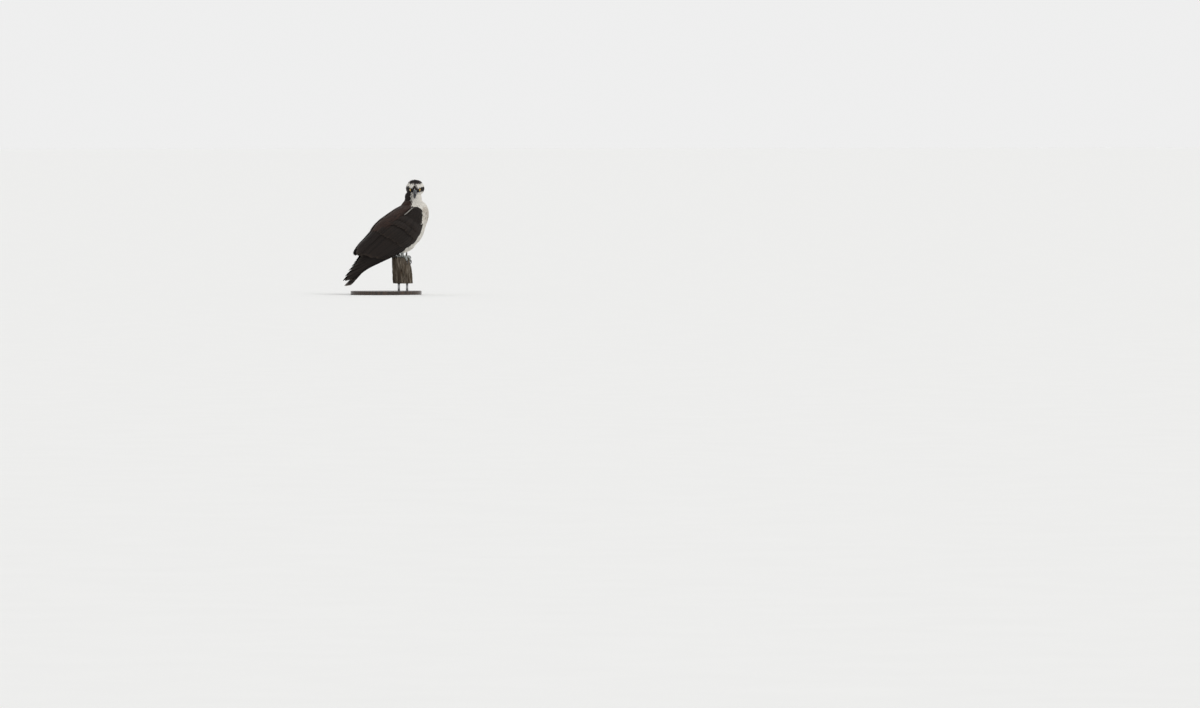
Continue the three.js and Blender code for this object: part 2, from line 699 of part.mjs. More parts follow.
// Cuts in the joined body: the shoulders, the jaw and the root of the tail.
const SHOULDER_CUT = 214;
const JAW_CUT = 249;
const TAIL_CUT = -142;
const tailward = inBody(-1, 0, 0).sub(inBody(0, 0, 0));
const tailCutAt = tailward.dot(inBody(TAIL_CUT, 0, 0));

const body = fused([trunkForm(0), neckForm(), headForm(0)]);
const above = (made, z) => made.trimByPlane([0, 0, 1], z);
const below = (made, z) => made.trimByPlane([0, 0, -1], -z);

const aftOfCut = (made, gap) => made.trimByPlane(tailward.toArray(), tailCutAt + gap);
const foreOfCut = (made, gap) => made.trimByPlane(tailward.clone().negate().toArray(), gap - tailCutAt);

const torso = largest(foreOfCut(below(body, SHOULDER_CUT - GAP / 2), GAP / 2));
const neck = largest(below(above(body, SHOULDER_CUT + GAP / 2), JAW_CUT - GAP / 2));
const tail = fused([largest(aftOfCut(below(body, SHOULDER_CUT), GAP / 2)), ...tailFeathers()]);

let head = fused([
  above(body, JAW_CUT + GAP / 2),
  ...[1, -1].flatMap((side) => [ball(eyeCentre(side), EYE.radius + LID_THICK, 12, 8), brow(side)]),
  ...crest(),
]);
for (const side of [1, -1]) {
  head = head.subtract(eyeball(side, GAP)).subtract(lidOpening(side)).subtract(gape(side));
}
head = largest(head);

const grownHead = headForm(GAP + 2 * SLIVER);
const billUpper = largest(upperBill(0).subtract(grownHead).subtract(nostril(1)).subtract(nostril(-1)));
const billLower = largest(lowerBill().subtract(grownHead).subtract(upperBill(GAP)));

const grownTrunk = trunkForm(GAP);

// The wings stay clear of the tail's coverts by this form round the rump.
const rumpClearance = ringed(20, 8, (t, turn) => {
  const s = lerp(-136, -252, t);
  const full = fullness(t, 8);
  const tall = (Math.cos(turn) > 0 ? rumpSurface.up(s) : rumpSurface.down(s)) + 4;
  return inBody(
    s,
    rumpSurface.centre(s) + tall * full * Math.cos(turn),
    (rumpSurface.wide(s) + 4) * full * Math.sin(turn),
  );
});

function wing(side) {
  const folded = fused([wingCore(side), ...wingFeathers(side)]);
  const cleared = [grownTrunk, rumpClearance, tailClearance(), thigh(side, GAP), shank(side, GAP)];
  return largest(cleared.reduce((left, taken) => left.subtract(taken), folded));
}

const MATERIALS = {
  brown: { color: 0x35261d, roughness: 0.75, metalness: 0 },
  white: { color: 0xe8e4d8, roughness: 0.85, metalness: 0 },
  bill: { color: 0x23262b, roughness: 0.35, metalness: 0 },
  eye: { color: 0xe0a818, roughness: 0.08, metalness: 0 },
  skin: { color: 0xb9c2c2, roughness: 0.6, metalness: 0 },
  claw: { color: 0x17171a, roughness: 0.3, metalness: 0 },
  wood: { color: 0x6f665c, roughness: 0.9, metalness: 0 },
  base: { color: 0x2b1d14, roughness: 0.4, metalness: 0 },
  steel: { color: 0x8d9094, roughness: 0.3, metalness: 1 },
};

// A solid as a named mesh, with the slivers left by its last cuts tidied away.
const SEAM = 0.14;

function piece(name, made, finish) {
  const { vertProperties, triVerts, numProp } = largest(made.asOriginal().simplify(SEAM)).getMesh();
  const geometry = new THREE.BufferGeometry();
  const positions = new Float32Array((vertProperties.length / numProp) * 3);
  for (let i = 0; i < positions.length / 3; i++) {
    positions.set(vertProperties.subarray(i * numProp, i * numProp + 3), i * 3);
  }
  geometry.setAttribute("position", new THREE.BufferAttribute(positions, 3));
  geometry.setIndex(new THREE.BufferAttribute(new Uint32Array(triVerts), 1));
  geometry.computeVertexNormals();
  const mesh = new THREE.Mesh(geometry, new THREE.MeshStandardMaterial(MATERIALS[finish]));
  mesh.name = name;
  return mesh;
}

const sideName = (side) => (side < 0 ? "right" : "left");

const bird = new THREE.Group();
bird.add(
  piece("torso", torso, "white"),
  piece("neck", neck, "white"),
  piece("head", head, "white"),
  piece("bill_upper", billUpper, "bill"),
  piece("bill_lower", billLower, "bill"),
  piece("tail", tail, "brown"),
);
let perch = perchForm();
for (const side of [-1, 1]) {
  const name = sideName(side);
  const shankGrown = shank(side, GAP);
  const footGrown = foot(side, GAP);
  bird.add(
    piece(`eye_${name}`, eyeball(side, 0), "eye"),
    piece(`wing_${name}`, wing(side), "brown"),
    piece(`thigh_${name}`, largest(thigh(side, 0).subtract(grownTrunk)), "white"),
    piece(`shank_${name}`, largest(shank(side, 0).subtract(thigh(side, 2 * GAP)).subtract(grownTrunk)), "skin"),
    piece(`foot_${name}`, largest(foot(side, 0).subtract(shankGrown)), "skin"),
  );
  perch = perch.subtract(footGrown).subtract(shankGrown);
  for (const [toeName, kind] of Object.entries(TOES)) {
    bird.add(piece(`claw_${name}_${toeName}`, largest(claw(side, kind, 0).subtract(footGrown)), "claw"));
    perch = perch.subtract(claw(side, kind, GAP));
  }
}
bird.add(piece("perch_limb", largest(perch), "wood"));
bird.position.z = FEET_HEIGHT;

// The base sits under the middle of the whole, so that the origin is there too.
const extent = new THREE.Box3().setFromObject(bird);
const middle = extent.getCenter(new THREE.Vector3());
bird.position.x = -middle.x;

function baseForm() {
  const outline = new THREE.Shape().absellipse(0, 0, BASE.length / 2 - BASE.edge, BASE.width / 2 - BASE.edge, 0, 2 * Math.PI);
  return new THREE.ExtrudeGeometry(outline, {
    depth: BASE.thick - 2 * BASE.edge,
    bevelEnabled: true,
    bevelSize: BASE.edge,
    bevelThickness: BASE.edge,
    bevelSegments: 1,
    curveSegments: 18,
  }).translate(0, 0, BASE.edge);
}

const stand = new THREE.Group();
stand.add(piece("stand_base", solid(baseForm()), "base"));
const perchFoot = FEET_HEIGHT - PERCH_LENGTH;
const rodHeight = perchFoot - BASE.thick - 2 * GAP;
[-1, 1].forEach((end, i) => {
  const rod = new THREE.CylinderGeometry(ROD.radius, ROD.radius, rodHeight, 14).rotateX(Math.PI / 2);
  const mesh = piece(`stand_rod_${i + 1}`, solid(rod), "steel");
  const under = PERCH.x + PERCH.lean * PERCH_LENGTH - middle.x;
  mesh.position.set(under + (end * ROD.apart) / 2, 0, BASE.thick + GAP + rodHeight / 2);
  stand.add(mesh);
});

const osprey = new THREE.Group();
osprey.add(bird, stand);

export default osprey;
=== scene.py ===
"""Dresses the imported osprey: skin, plumage, bill, eyes, feet, limb, stand and a pale stage.

The bird is worked out in millimetres from the top of the limb between its feet, with the body
heading along +X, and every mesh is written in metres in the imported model's frame.
"""

import math
from functools import reduce
from itertools import product

import bmesh
import bpy
import numpy as np
from bpy.props import FloatProperty, FloatVectorProperty, IntProperty, PointerProperty
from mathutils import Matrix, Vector, noise
from mathutils.bvhtree import BVHTree


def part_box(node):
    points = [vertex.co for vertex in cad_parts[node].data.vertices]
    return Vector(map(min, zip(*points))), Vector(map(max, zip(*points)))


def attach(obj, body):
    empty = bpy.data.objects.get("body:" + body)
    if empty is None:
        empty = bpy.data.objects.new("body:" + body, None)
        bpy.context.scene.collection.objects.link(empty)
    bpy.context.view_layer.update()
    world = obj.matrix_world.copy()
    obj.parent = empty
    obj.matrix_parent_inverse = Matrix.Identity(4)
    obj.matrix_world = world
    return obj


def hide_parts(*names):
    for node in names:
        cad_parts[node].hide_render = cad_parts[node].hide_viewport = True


bl_info = {
    "name": "Osprey Plumage",
    "version": (1, 0, 0),
    "blender": (4, 5, 0),
    "location": "View3D > Sidebar > Osprey",
    "description": "Feathers, bill, feet, limb and stand for the packed osprey",
    "category": "Object",
}

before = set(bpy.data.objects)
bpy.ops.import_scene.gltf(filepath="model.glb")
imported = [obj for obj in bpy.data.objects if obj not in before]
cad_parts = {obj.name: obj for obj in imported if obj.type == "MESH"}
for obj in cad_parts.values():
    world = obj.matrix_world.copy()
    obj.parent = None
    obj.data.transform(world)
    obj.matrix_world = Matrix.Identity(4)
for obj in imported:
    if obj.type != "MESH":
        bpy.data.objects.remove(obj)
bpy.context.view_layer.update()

MM = 0.001
SIDES = {"right": -1, "left": 1}

# The body's own frame: s runs from tail to breast, d from belly to back, y to the bird's left.
PITCH = math.radians(46)
BODY_CENTRE = np.array([-13.0, 0.0, 120.0])
ALONG = np.array([math.cos(PITCH), 0.0, math.sin(PITCH)])
UPWARD = np.array([-math.sin(PITCH), 0.0, math.cos(PITCH)])
ASIDE = np.array([0.0, 1.0, 0.0])

# The head's own frame starts midway between the eyes: x to the bill, y to its left, z up.
EYES_AT = np.array([54.0, -8.0, 280.0])
TURN, NOD = math.radians(-110), math.radians(20)
HEAD_AXES = np.array([
    [math.cos(TURN) * math.cos(NOD), math.sin(TURN) * math.cos(NOD), -math.sin(NOD)],
    [-math.sin(TURN), math.cos(TURN), 0.0],
    [math.cos(TURN) * math.sin(NOD), math.sin(TURN) * math.sin(NOD), math.cos(NOD)],
])
EYE = np.array([2.5, 14.6, 0.0])
EYE_RADIUS, CORNEA = 8.6, 0.7
LID_RIM = math.radians(44)
BARE_EYE = 9.0
EYE_LOOKS = np.array([0.5, 0.86, 0.08]) / np.linalg.norm([0.5, 0.86, 0.08])

# Forms round the body's axis: s, centre, up, down, half width.
TRUNK = [
    (-196, 4, 13, 12, 15), (-165, 6, 25, 24, 27), (-135, 6, 40, 38, 38), (-100, 2, 60, 54, 49),
    (-65, -5, 74, 67, 59), (-30, -11, 84, 78, 67), (5, -13, 80, 85, 71), (40, -12, 73, 84, 73),
    (75, -8, 64, 74, 71), (105, -6, 58, 66, 66), (130, -4, 50, 60, 58), (150, -2, 44, 46, 46),
]
WING = [
    (-215, 10, 66, 44, 45), (-160, 8, 73, 54, 55), (-130, 6, 74, 63, 62), (-95, 3, 79, 74, 71),
    (-60, -2, 87, 84, 80), (-25, -6, 88, 92, 86), (15, -6, 79, 92, 87), (55, -3, 67, 84, 84),
    (90, 0, 58, 72, 78), (120, 0, 48, 58, 66),
]
HAND = [
    (-340, 13, 14, 10, 15), (-290, 12, 25, 18, 22), (-250, 11, 31, 22, 28), (-210, 10, 36, 30, 36),
    (-170, 7, 44, 43, 46), (-120, 2, 54, 61, 56), (-60, -4, 70, 80, 74), (0, -6, 76, 88, 82),
    (60, -4, 70, 84, 80),
]
RUMP = [
    (-250, -1, 5, 8, 22), (-210, -1, 10, 12, 25), (-180, 3, 18, 18, 26), (-140, 6, 38, 38, 37),
]
# The neck: height, x and y of its centre, half length, half width.
NECK = [
    (172, 36, 0, 40, 44), (200, 38, 0, 49, 44), (218, 43, 1, 45, 40), (238, 50.5, 4, 38, 35),
    (258, 52, 11, 37, 28), (276, 54, 15, 27, 20),
]
# The head: x, centre, up, down, half width.
HEAD = [
    (-54, -12, 20, 22, 28), (-44, -10, 30, 30, 36), (-32, -7, 37.5, 34, 40), (-20, -4, 38.5, 34, 38),
    (-8, -3, 34.5, 30.5, 31), (3, -3, 26, 25, 22.5), (11, -4, 18.5, 18, 16), (17, -5.5, 13, 12, 11.5),
    (21, -6, 9.5, 9, 9),
]
# The wing's fleshy part, as angles from the back: at its upper and its lower edge.
WING_TOP = [(-112, 10), (-30, 10), (20, 15), (60, 27), (90, 42), (114, 60)]
WING_LOW = [
    (-112, 150), (-94, 145), (-71, 138), (-40, 131), (-21, 131), (12, 133), (39, 131), (60, 127),
    (80, 121), (96, 114), (114, 104),
]
WING_FRONT, WING_REAR = 114, -112

# How far the skin lies inside the plumage.
COAT = 3.0

# Half the thickness of the wing's flesh.
WING_FLESH = 9

# A small feather: half its thickness in metres, how deep its root is sunk and how far its edges droop.
HALF_VANE = 0.00016
ROOT_SUNK, SMALL_CAMBER = 0.6, 0.35

# The size of a feather's patch on the bake's map.
PATCH = 0.003


# Curves, frames and forms.

def curve_through(pairs):
    """A smooth curve through pairs of (place, value) in rising order, for arrays of places."""
    places, values = np.array(pairs, float).T
    last = len(places) - 1
    index = np.arange(last + 1)
    after, before = np.minimum(index + 1, last), np.maximum(index - 1, 0)
    slopes = (values[after] - values[before]) / (places[after] - places[before])

    def at(place):
        place = np.clip(place, places[0], places[-1])
        i = np.clip(np.searchsorted(places, place), 1, last)
        span = places[i] - places[i - 1]
        t = (place - places[i - 1]) / span
        return (
            values[i - 1] * (1 + 2 * t) * (1 - t) ** 2
            + slopes[i - 1] * span * t * (1 - t) ** 2
            + values[i] * (3 - 2 * t) * t * t
            + slopes[i] * span * (t - 1) * t * t
        )

    return at


def curves_of(rows):
    """One curve for each of the four columns that follow a table's first."""
    return [curve_through([(row[0], row[k]) for row in rows]) for k in range(1, 5)]


class Form:
    """A rounded form around the body's axis."""

    def __init__(self, rows):
        self.centre, self.up, self.down, self.wide = curves_of(rows)
        self.low, self.high = rows[0][0], rows[-1][0]

    def tall(self, s, angle):
        return np.where(np.cos(angle) > 0, self.up(s), self.down(s))

    def around(self, s, degrees, lift, side):
        """Points at an angle from 0 at the back to 180 at the belly, lifted off the form."""
        angle = np.radians(degrees)
        tall, wide = self.tall(s, angle), self.wide(s)
        out_d, out_y = np.cos(angle) * wide, np.sin(angle) * tall
        size = np.hypot(out_d, out_y)
        d = self.centre(s) + tall * np.cos(angle) + lift * out_d / size
        return in_body(s, d, side * (wide * np.sin(angle) + lift * out_y / size))

    def per_degree(self, s, degrees):
        """Millimetres round the form for each degree."""
        angle = np.radians(degrees)
        tall = self.tall(s, angle)
        return np.radians(np.hypot(tall * np.sin(angle), self.wide(s) * np.cos(angle)))

    def place_of(self, points):
        """s, angle in degrees from the back, and height above the form, of points."""
        s, d, y = body_coordinates(points)
        rise = d - self.centre(s)
        tall, wide = np.where(rise > 0, self.up(s), self.down(s)), self.wide(s)
        angle = np.degrees(np.arctan2(np.abs(y) / wide, rise / tall))
        reach = np.hypot(y / wide, rise / tall)
        return s, angle, (reach - 1) * np.minimum(tall, wide)


def in_body(s, d, y):
    s, d, y = np.broadcast_arrays(s, d, y)
    return BODY_CENTRE + s[..., None] * ALONG + d[..., None] * UPWARD + y[..., None] * ASIDE


def body_coordinates(points):
    away = points - BODY_CENTRE
    return away @ ALONG, away @ UPWARD, away[..., 1]


def in_head(x, y, z):
    x, y, z = np.broadcast_arrays(x, y, z)
    return EYES_AT + np.stack([x, y, z], -1) @ HEAD_AXES


def head_coordinates(points):
    return (points - EYES_AT) @ HEAD_AXES.T


def head_path(points):
    """A list of places in the head's frame, in the bird's millimetres."""
    return in_head(*np.array(points, float).T)


def box_of(node):
    return (np.array(corner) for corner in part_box(node))


def middle_of(node):
    return sum(box_of(node)) / 2 / MM


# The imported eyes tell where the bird's own origin lies in the frame.
BIRD_AT = (middle_of("eye_left") + middle_of("eye_right")) / 2 - in_head(EYE[0], 0.0, 0.0)

trunk, wing_form, hand_form, rump_form = Form(TRUNK), Form(WING), Form(HAND), Form(RUMP)
wing_top, wing_low = curve_through(WING_TOP), curve_through(WING_LOW)


def to_frame(points):
    """From the bird's millimetres to the frame's metres."""
    return (points + BIRD_AT) * MM


def from_frame(points):
    return points / MM - BIRD_AT


def unit(vectors):
    return vectors / np.maximum(np.linalg.norm(vectors, axis=-1, keepdims=True), 1e-9)


def smoothstep(low, high, value):
    t = np.clip((value - low) / (high - low), 0, 1)
    return t * t * (3 - 2 * t)


def mix(a, b, share):
    return a + (b - a) * share


def fullness(t, power):
    """How full a form is along its length: 0 at both ends and 1 for most of the way."""
    return np.power(np.maximum(1 - np.power(np.abs(2 * t - 1), power), 0), 1 / power)


def rounded(tall, wide, power):
    """Half height and half width, as functions of the share of a bar's length, rounded at its ends."""
    return lambda t: (tall(t) * fullness(t, power), wide(t) * fullness(t, power))


def steady(value):
    return lambda t: value


# Making objects.

def add_object(name, data):
    thing = bpy.data.objects.new(name, data)
    bpy.context.scene.collection.objects.link(thing)
    return thing


def add_piece(name, mesh, made, slot, *nodes):
    """Adds a finished piece with its material, hangs it on the root, and hides the nodes it stands for."""
    mesh.materials.append(made)
    thing = add_object(name, mesh)
    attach(thing, "root")
    if nodes:
        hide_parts(*nodes)


def ringed(bm, segments, rings, place):
    """A ball whose rings are set along a path by place(share of the path, turn)."""
    verts = bmesh.ops.create_uvsphere(bm, u_segments=segments, v_segments=rings, radius=1)["verts"]
    points = np.array([vert.co for vert in verts])
    share = np.arccos(np.clip(points[:, 2], -1, 1)) / math.pi
    turn = np.arctan2(points[:, 1], points[:, 0])
    placed = place(share, turn)
    for vert, point in zip(verts, placed):
        vert.co = point
    return verts


def spline(points):
    """A smooth curve through points, giving points and directions at shares of its length."""
    points = np.array(points, float)
    shares = np.linspace(0, 1, len(points))
    axes = [curve_through(list(zip(shares, points[:, k]))) for k in range(3)]

    def at(t):
        return np.stack([axis(t) for axis in axes], -1)

    def direction(t):
        return unit(at(np.minimum(t + 0.005, 1)) - at(np.maximum(t - 0.005, 0)))

    return at, direction


def bar(bm, points, segments, rings, size, across):
    """A bent round bar along points. size(t) gives its half height and half width."""
    at, direction = spline(points)
    across = np.array(across, float)

    def place(t, turn):
        forward = direction(t)
        side = unit(across - (forward @ across)[:, None] * forward)
        over = np.cross(forward, side)
        tall, wide = size(t)
        return at(t) + over * (tall * np.cos(turn))[:, None] + side * (wide * np.sin(turn))[:, None]

    return ringed(bm, segments, rings, place)


def plain_mesh(bm, name):
    mesh = bpy.data.meshes.new(name)
    bm.to_mesh(mesh)
    bm.free()
    return mesh


def mesh_from(bm, name):
    """The bmesh, which is in the bird's millimetres, as a smooth mesh in the frame."""
    for vert in bm.verts:
        vert.co = to_frame(np.array(vert.co))
    bmesh.ops.remove_doubles(bm, verts=bm.verts, dist=1e-7)
    bmesh.ops.recalc_face_normals(bm, faces=bm.faces)
    for face in bm.faces:
        face.smooth = True
    return plain_mesh(bm, name)


def paint(mesh, name, colours):
    """A colour for each vertex."""
    layer = mesh.color_attributes.new(name, "FLOAT_COLOR", "POINT")
    layer.data.foreach_set("color", np.ascontiguousarray(colours, np.float32).ravel())


def note(mesh, name, values):
    """A number for each vertex."""
    layer = mesh.attributes.new(name, "FLOAT", "POINT")
    layer.data.foreach_set("value", np.ascontiguousarray(values, np.float32).ravel())


def map_verts(mesh, name, places):
    """A UV map from one place for each vertex."""
    corners = np.empty(len(mesh.loops), np.int32)
    mesh.loops.foreach_get("vertex_index", corners)
    layer = mesh.uv_layers.new(name=name)
    layer.data.foreach_set("uv", np.ascontiguousarray(places[corners], np.float32).ravel())


def points_of(mesh):
    points = np.empty(len(mesh.vertices) * 3)
    mesh.vertices.foreach_get("co", points)
    return points.reshape(-1, 3)


# Where the plumage changes colour.

BROWN = np.array([0.014, 0.0095, 0.0075])
MANTLE = np.array([0.036, 0.017, 0.012])
WHITE = np.array([0.76, 0.73, 0.67])
TAN = np.array([0.42, 0.31, 0.20])
STRIPE = np.array([0.013, 0.009, 0.008])


def wing_share(points):
    """1 on the folded wings and 0 off them."""
    s, angle, height = wing_form.place_of(points)
    inside = (s > WING_REAR - 4) & (s < WING_FRONT) & (height > -11)
    return (inside & (angle > wing_top(s) - 2) & (angle < wing_low(s))).astype(float)


def head_share(points):
    return smoothstep(66, 52, np.linalg.norm(points - in_head(-15, 0, -5), axis=-1))


# The markings of the head, by x: half width of the dark forehead, and height and half width of the
# stripe through the eye. By z: half width of the streak down the nape.
FOREHEAD = ([0, 6, 10, 15], [1.6, 2.4, 5, 9])
STRIPE_HEIGHT = ([-54, -38, -20, -4, 6, 16], [-25, -20, -8, -1.0, 0.0, -1])
STRIPE_HALF = ([-54, -38, -20, -4, 6, 16], [8, 12.5, 11, 9.5, 8.0, 6.5])
NAPE_HALF = ([-40, -22, 16], [2.5, 5.0, 6.0])
# Those of the neck, by height: x of its middle, and the angle from the throat where it turns dark.
NECK_MIDDLE = ([172, 200, 218, 238, 258, 276], [36, 40, 45, 50, 52, 52])
NECK_DARK = ([180, 205, 225, 245, 262, 280], [78, 92, 114, 126, 132, 146])


def dark_share(points, wobble):
    """How dark the plumage is, from 0 to 1. wobble roughens the edges of the markings."""
    x, y, z = (head_coordinates(points) + 1.6 * wobble[..., :3]).T
    side = np.abs(y)
    crown = smoothstep(1.08, 0.92, np.hypot((x + 22) / 27, y / 25)) * (z > 16)
    reach = np.interp(x, *FOREHEAD)
    forehead = smoothstep(reach + 1, reach - 1, side) * smoothstep(-4, 0, x) * (z > 0)
    line = np.interp(x, *STRIPE_HEIGHT)
    half = np.interp(x, *STRIPE_HALF)
    open_nape = mix(1.0, smoothstep(11, 19, side), smoothstep(-34, -42, x))
    stripe = smoothstep(half + 1.2, half - 1.2, np.abs(z - line)) * (side > 4) * open_nape
    streak_half = np.interp(z, *NAPE_HALF)
    nape_streak = smoothstep(streak_half + 1.5, streak_half - 1.5, side) * (x < -36) * (z < 16)
    on_head = np.clip(np.maximum.reduce([crown, forehead, stripe, nape_streak]), 0, 1)

    s, angle, _ = trunk.place_of(points)
    height = points[..., 2] + 5 * wobble[..., 0]
    middle_x = np.interp(height, *NECK_MIDDLE)
    heading = np.degrees(np.arctan2(np.abs(points[..., 1]), points[..., 0] - middle_x))
    reach = np.interp(height, *NECK_DARK)
    on_neck = smoothstep(reach - 5, reach + 5, heading + 5 * wobble[..., 1])
    on_trunk = smoothstep(82, 70, angle + 5 * wobble[..., 2]) * smoothstep(-175, -165, s)
    low = mix(on_trunk, on_neck, smoothstep(172, 196, points[..., 2]))
    body = np.maximum(low, wing_share(points))
    on_head = np.maximum(on_head, on_neck * smoothstep(282, 272, points[..., 2]))
    return mix(body, on_head, head_share(points))


def band_share(points, wobble):
    """The brown necklace across the upper breast."""
    s, angle, _ = trunk.place_of(points)
    along = smoothstep(78, 128, s + 5 * wobble[..., 0]) * smoothstep(158, 140, s + 5 * wobble[..., 1])
    below_neck = smoothstep(228, 212, points[..., 2])
    return along * smoothstep(70, 84, angle) * below_neck * (1 - wing_share(points))


def plumage_colour(points, rng):
    """The colour of the feather that grows at each point, and how streaked it is, below 0."""
    wobble = rng.normal(0, 1, points.shape)
    dark = dark_share(points, wobble)
    turns_dark = 0.3 + 0.4 * rng.random(len(points)) < dark
    dark = np.where(turns_dark, np.maximum(dark, 0.9), np.minimum(dark, 0.08))
    brown = mix(MANTLE, BROWN, wing_share(points)[:, None])
    brown = mix(brown, STRIPE, head_share(points)[:, None])
    brown = brown * rng.uniform(0.72, 1.35, (len(points), 1))
    pale = WHITE * rng.uniform(0.9, 1.04, (len(points), 1))
    banded = band_share(points, wobble) * rng.uniform(0.25, 1.0, len(points))
    tan = TAN * rng.uniform(0.8, 1.3, (len(points), 1))
    pale = mix(pale, tan, 0.35 * np.clip(banded, 0, 1)[:, None])
    return mix(pale, brown, dark[:, None]), -banded * (dark < 0.5)


def lie(points):
    """Which way the plumage lies: back over the head, down the neck and tailwards."""
    head = head_coordinates(points)
    from_bill = unit(head - np.array([27.0, 0.0, -7.0])) @ HEAD_AXES
    nape = smoothstep(-14, -48, head[..., 0])[..., None]
    over_head = unit(from_bill + 1.7 * nape * np.array([0.0, 0.0, -1.0]))
    for side in SIDES.values():
        away = head - EYE * np.array([1, side, 1])
        near = smoothstep(17, 8.5, np.linalg.norm(away, axis=-1)) * smoothstep(7, 2, away[..., 2])
        over_head = over_head + 1.4 * near[..., None] * (unit(away) @ HEAD_AXES)
    down = np.array([-0.10, 0.0, -1.0])
    leg = np.array([-0.42, 0.0, -0.9])
    x, y, z = points[..., 0], np.abs(points[..., 1]), points[..., 2]
    thigh = smoothstep(80, 62, z) * smoothstep(10, 22, y) * smoothstep(-45, -25, x)
    lower = mix(-ALONG, leg, (thigh * (1 - wing_share(points)))[..., None])
    body = mix(lower, down, smoothstep(186, 222, z)[..., None])
    return unit(mix(body, over_head, head_share(points)[..., None]))


def unwrap(points):
    """Places on an unwrap of the skin: the body from tail to neck, and the head beside it."""
    def round_share(aside, below):
        return np.arctan2(aside, below) / (2 * math.pi) + 0.5

    s, d, y = body_coordinates(points)
    body = np.stack([0.03 + 0.54 * round_share(y, -d), 0.03 + (s + 350) / 560], -1)
    x, side, z = head_coordinates(points).T
    head = np.stack([0.62 + 0.35 * round_share(side, -z), 0.35 + (x + 60) / 160], -1)
    return np.where(head_share(points)[:, None] > 0.5, head, body)


# Feathers.

class Vane:
    """A thin closed feather on a grid whose rows close up towards the tip, repeated as one mesh."""

    def __init__(self, columns, rows):
        self.columns, self.rows = columns, rows
        self.across = np.tile(np.linspace(-1, 1, columns + 1), rows + 1)
        self.row_places = 1 - (1 - np.linspace(0, 1, rows + 1)) ** 1.5
        self.along = np.repeat(self.row_places, columns + 1)
        self.grid = len(self.across)
        stride = columns + 1
        quads, rim = [], []
        for row in range(rows):
            for column in range(columns):
                a = row * stride + column
                b = self.grid + a
                quads.append((a, a + 1, a + stride + 1, a + stride))
                quads.append((b, b + stride, b + stride + 1, b + 1))
        rim += list(range(columns)) + [row * stride + columns for row in range(rows)]
        rim += [rows * stride + column for column in range(columns, 0, -1)]
        rim += [row * stride for row in range(rows, 0, -1)]
        edge = [(b, a, self.grid + a, self.grid + b) for a, b in zip(rim, rim[1:] + rim[:1])]
        self.faces = np.array(quads + edge)
        self.smooth = np.array([True] * len(quads) + [False] * len(edge))

    def mesh(self, name, upper, lower, colours, roots, kinds):
        """upper and lower are points of shape (feathers, grid, 3), in the bird's millimetres."""
        count = len(upper)
        points = to_frame(np.concatenate([upper, lower], 1)).reshape(-1, 3)
        faces = (self.faces[None] + (np.arange(count) * 2 * self.grid)[:, None, None]).reshape(-1, 4)
        mesh = bpy.data.meshes.new(name)
        mesh.from_pydata(points.tolist(), [], faces.tolist())
        mesh.polygons.foreach_set("use_smooth", np.tile(self.smooth, count))
        paint(mesh, "tint", np.repeat(np.c_[colours, np.ones(count)], 2 * self.grid, 0))
        note(mesh, "kind", np.repeat(kinds, 2 * self.grid))
        own = np.stack([(self.across + 1) / 2, self.along], -1)
        own = np.tile(own, (2 * count, 1))
        map_verts(mesh, "OFBake", np.repeat(roots, 2 * self.grid, 0) + PATCH * (own - 0.5))
        map_verts(mesh, "vane", own)
        mesh.uv_layers["OFBake"].active_render = True
        return mesh


# Shares of the full width along each kind of feather, from root to tip.
OUTLINES = {
    "flight": [(0, 0.45), (0.25, 0.82), (0.6, 1), (0.85, 0.93), (0.94, 0.72), (0.985, 0.36), (1, 0.1)],
    "covert": [(0, 0.5), (0.35, 0.9), (0.7, 1), (0.88, 0.84), (0.965, 0.5), (1, 0.12)],
    "body": [(0, 0.4), (0.3, 0.88), (0.55, 1), (0.8, 0.8), (0.93, 0.48), (1, 0.1)],
    "tail": [(0, 0.55), (0.4, 0.86), (0.8, 1), (0.93, 0.92), (0.98, 0.66), (1, 0.3)],
}


def width_share(outline, along):
    return np.interp(along, *np.array(OUTLINES[outline]).T)


def shaft_ridge(vane, height):
    """The shaft stands above the middle of a feather and sinks away towards its tip."""
    return height * (np.abs(vane.across) < 1e-6) * (1 - vane.along)


NOTCHES, NOTCH_REACH = 3, 0.022


def split_edges(rng, count, along, across, depth):
    """The share of the width that is left at each grid point by the notches where barbs part."""
    taken = np.zeros((count, along.shape[-1]))
    for _ in range(NOTCHES):
        place = rng.uniform(0.3, 0.97, (count, 1))
        side = rng.choice([-1, 1], (count, 1))
        strength = rng.uniform(0, depth, (count, 1))
        close = np.clip(1 - np.abs(along - place) / NOTCH_REACH, 0, 1)
        taken += strength * close * (np.sign(across) == side) * (np.abs(across) > 0.7)
    return 1 - np.clip(taken, 0, 0.6)


def tier(form, side, count, rng, root_s, root_angle, tip_s, tip_angle, width, lift, tilt, outline="covert",
         colour=BROWN, spread=0.28, ragged=4.0, bend=(1, 1), kind=1.0):
    """A tier of like feathers, from the lowest to the one nearest the back, as rows of numbers.

    lift is that of root and tip. The other pairs are for the first and the last feather.
    """
    def pick(pair):
        return mix(*pair, np.linspace(0, 1, count))

    tint = np.array(colour) * rng.uniform(1 - spread, 1 + spread, (count, 1))
    tip_s = pick(tip_s) + ragged * rng.uniform(-1, 1, count)
    return {
        "form": form, "side": side, "outline": outline, "tilt": tilt, "colour": tint,
        "root": np.c_[pick(root_s), pick(root_angle)],
        "tip": np.c_[tip_s, pick(tip_angle) + 0.8 * rng.uniform(-1, 1, count)],
        "width": pick(width) * rng.uniform(0.96, 1.04, count), "bend": pick(bend),
        "lift": np.tile(lift, (count, 1)) + rng.uniform(-0.12, 0.12, (count, 1)),
        "kind": np.full(count, kind),
    }


VANE_THICK, CAMBER = 0.45, 0.6


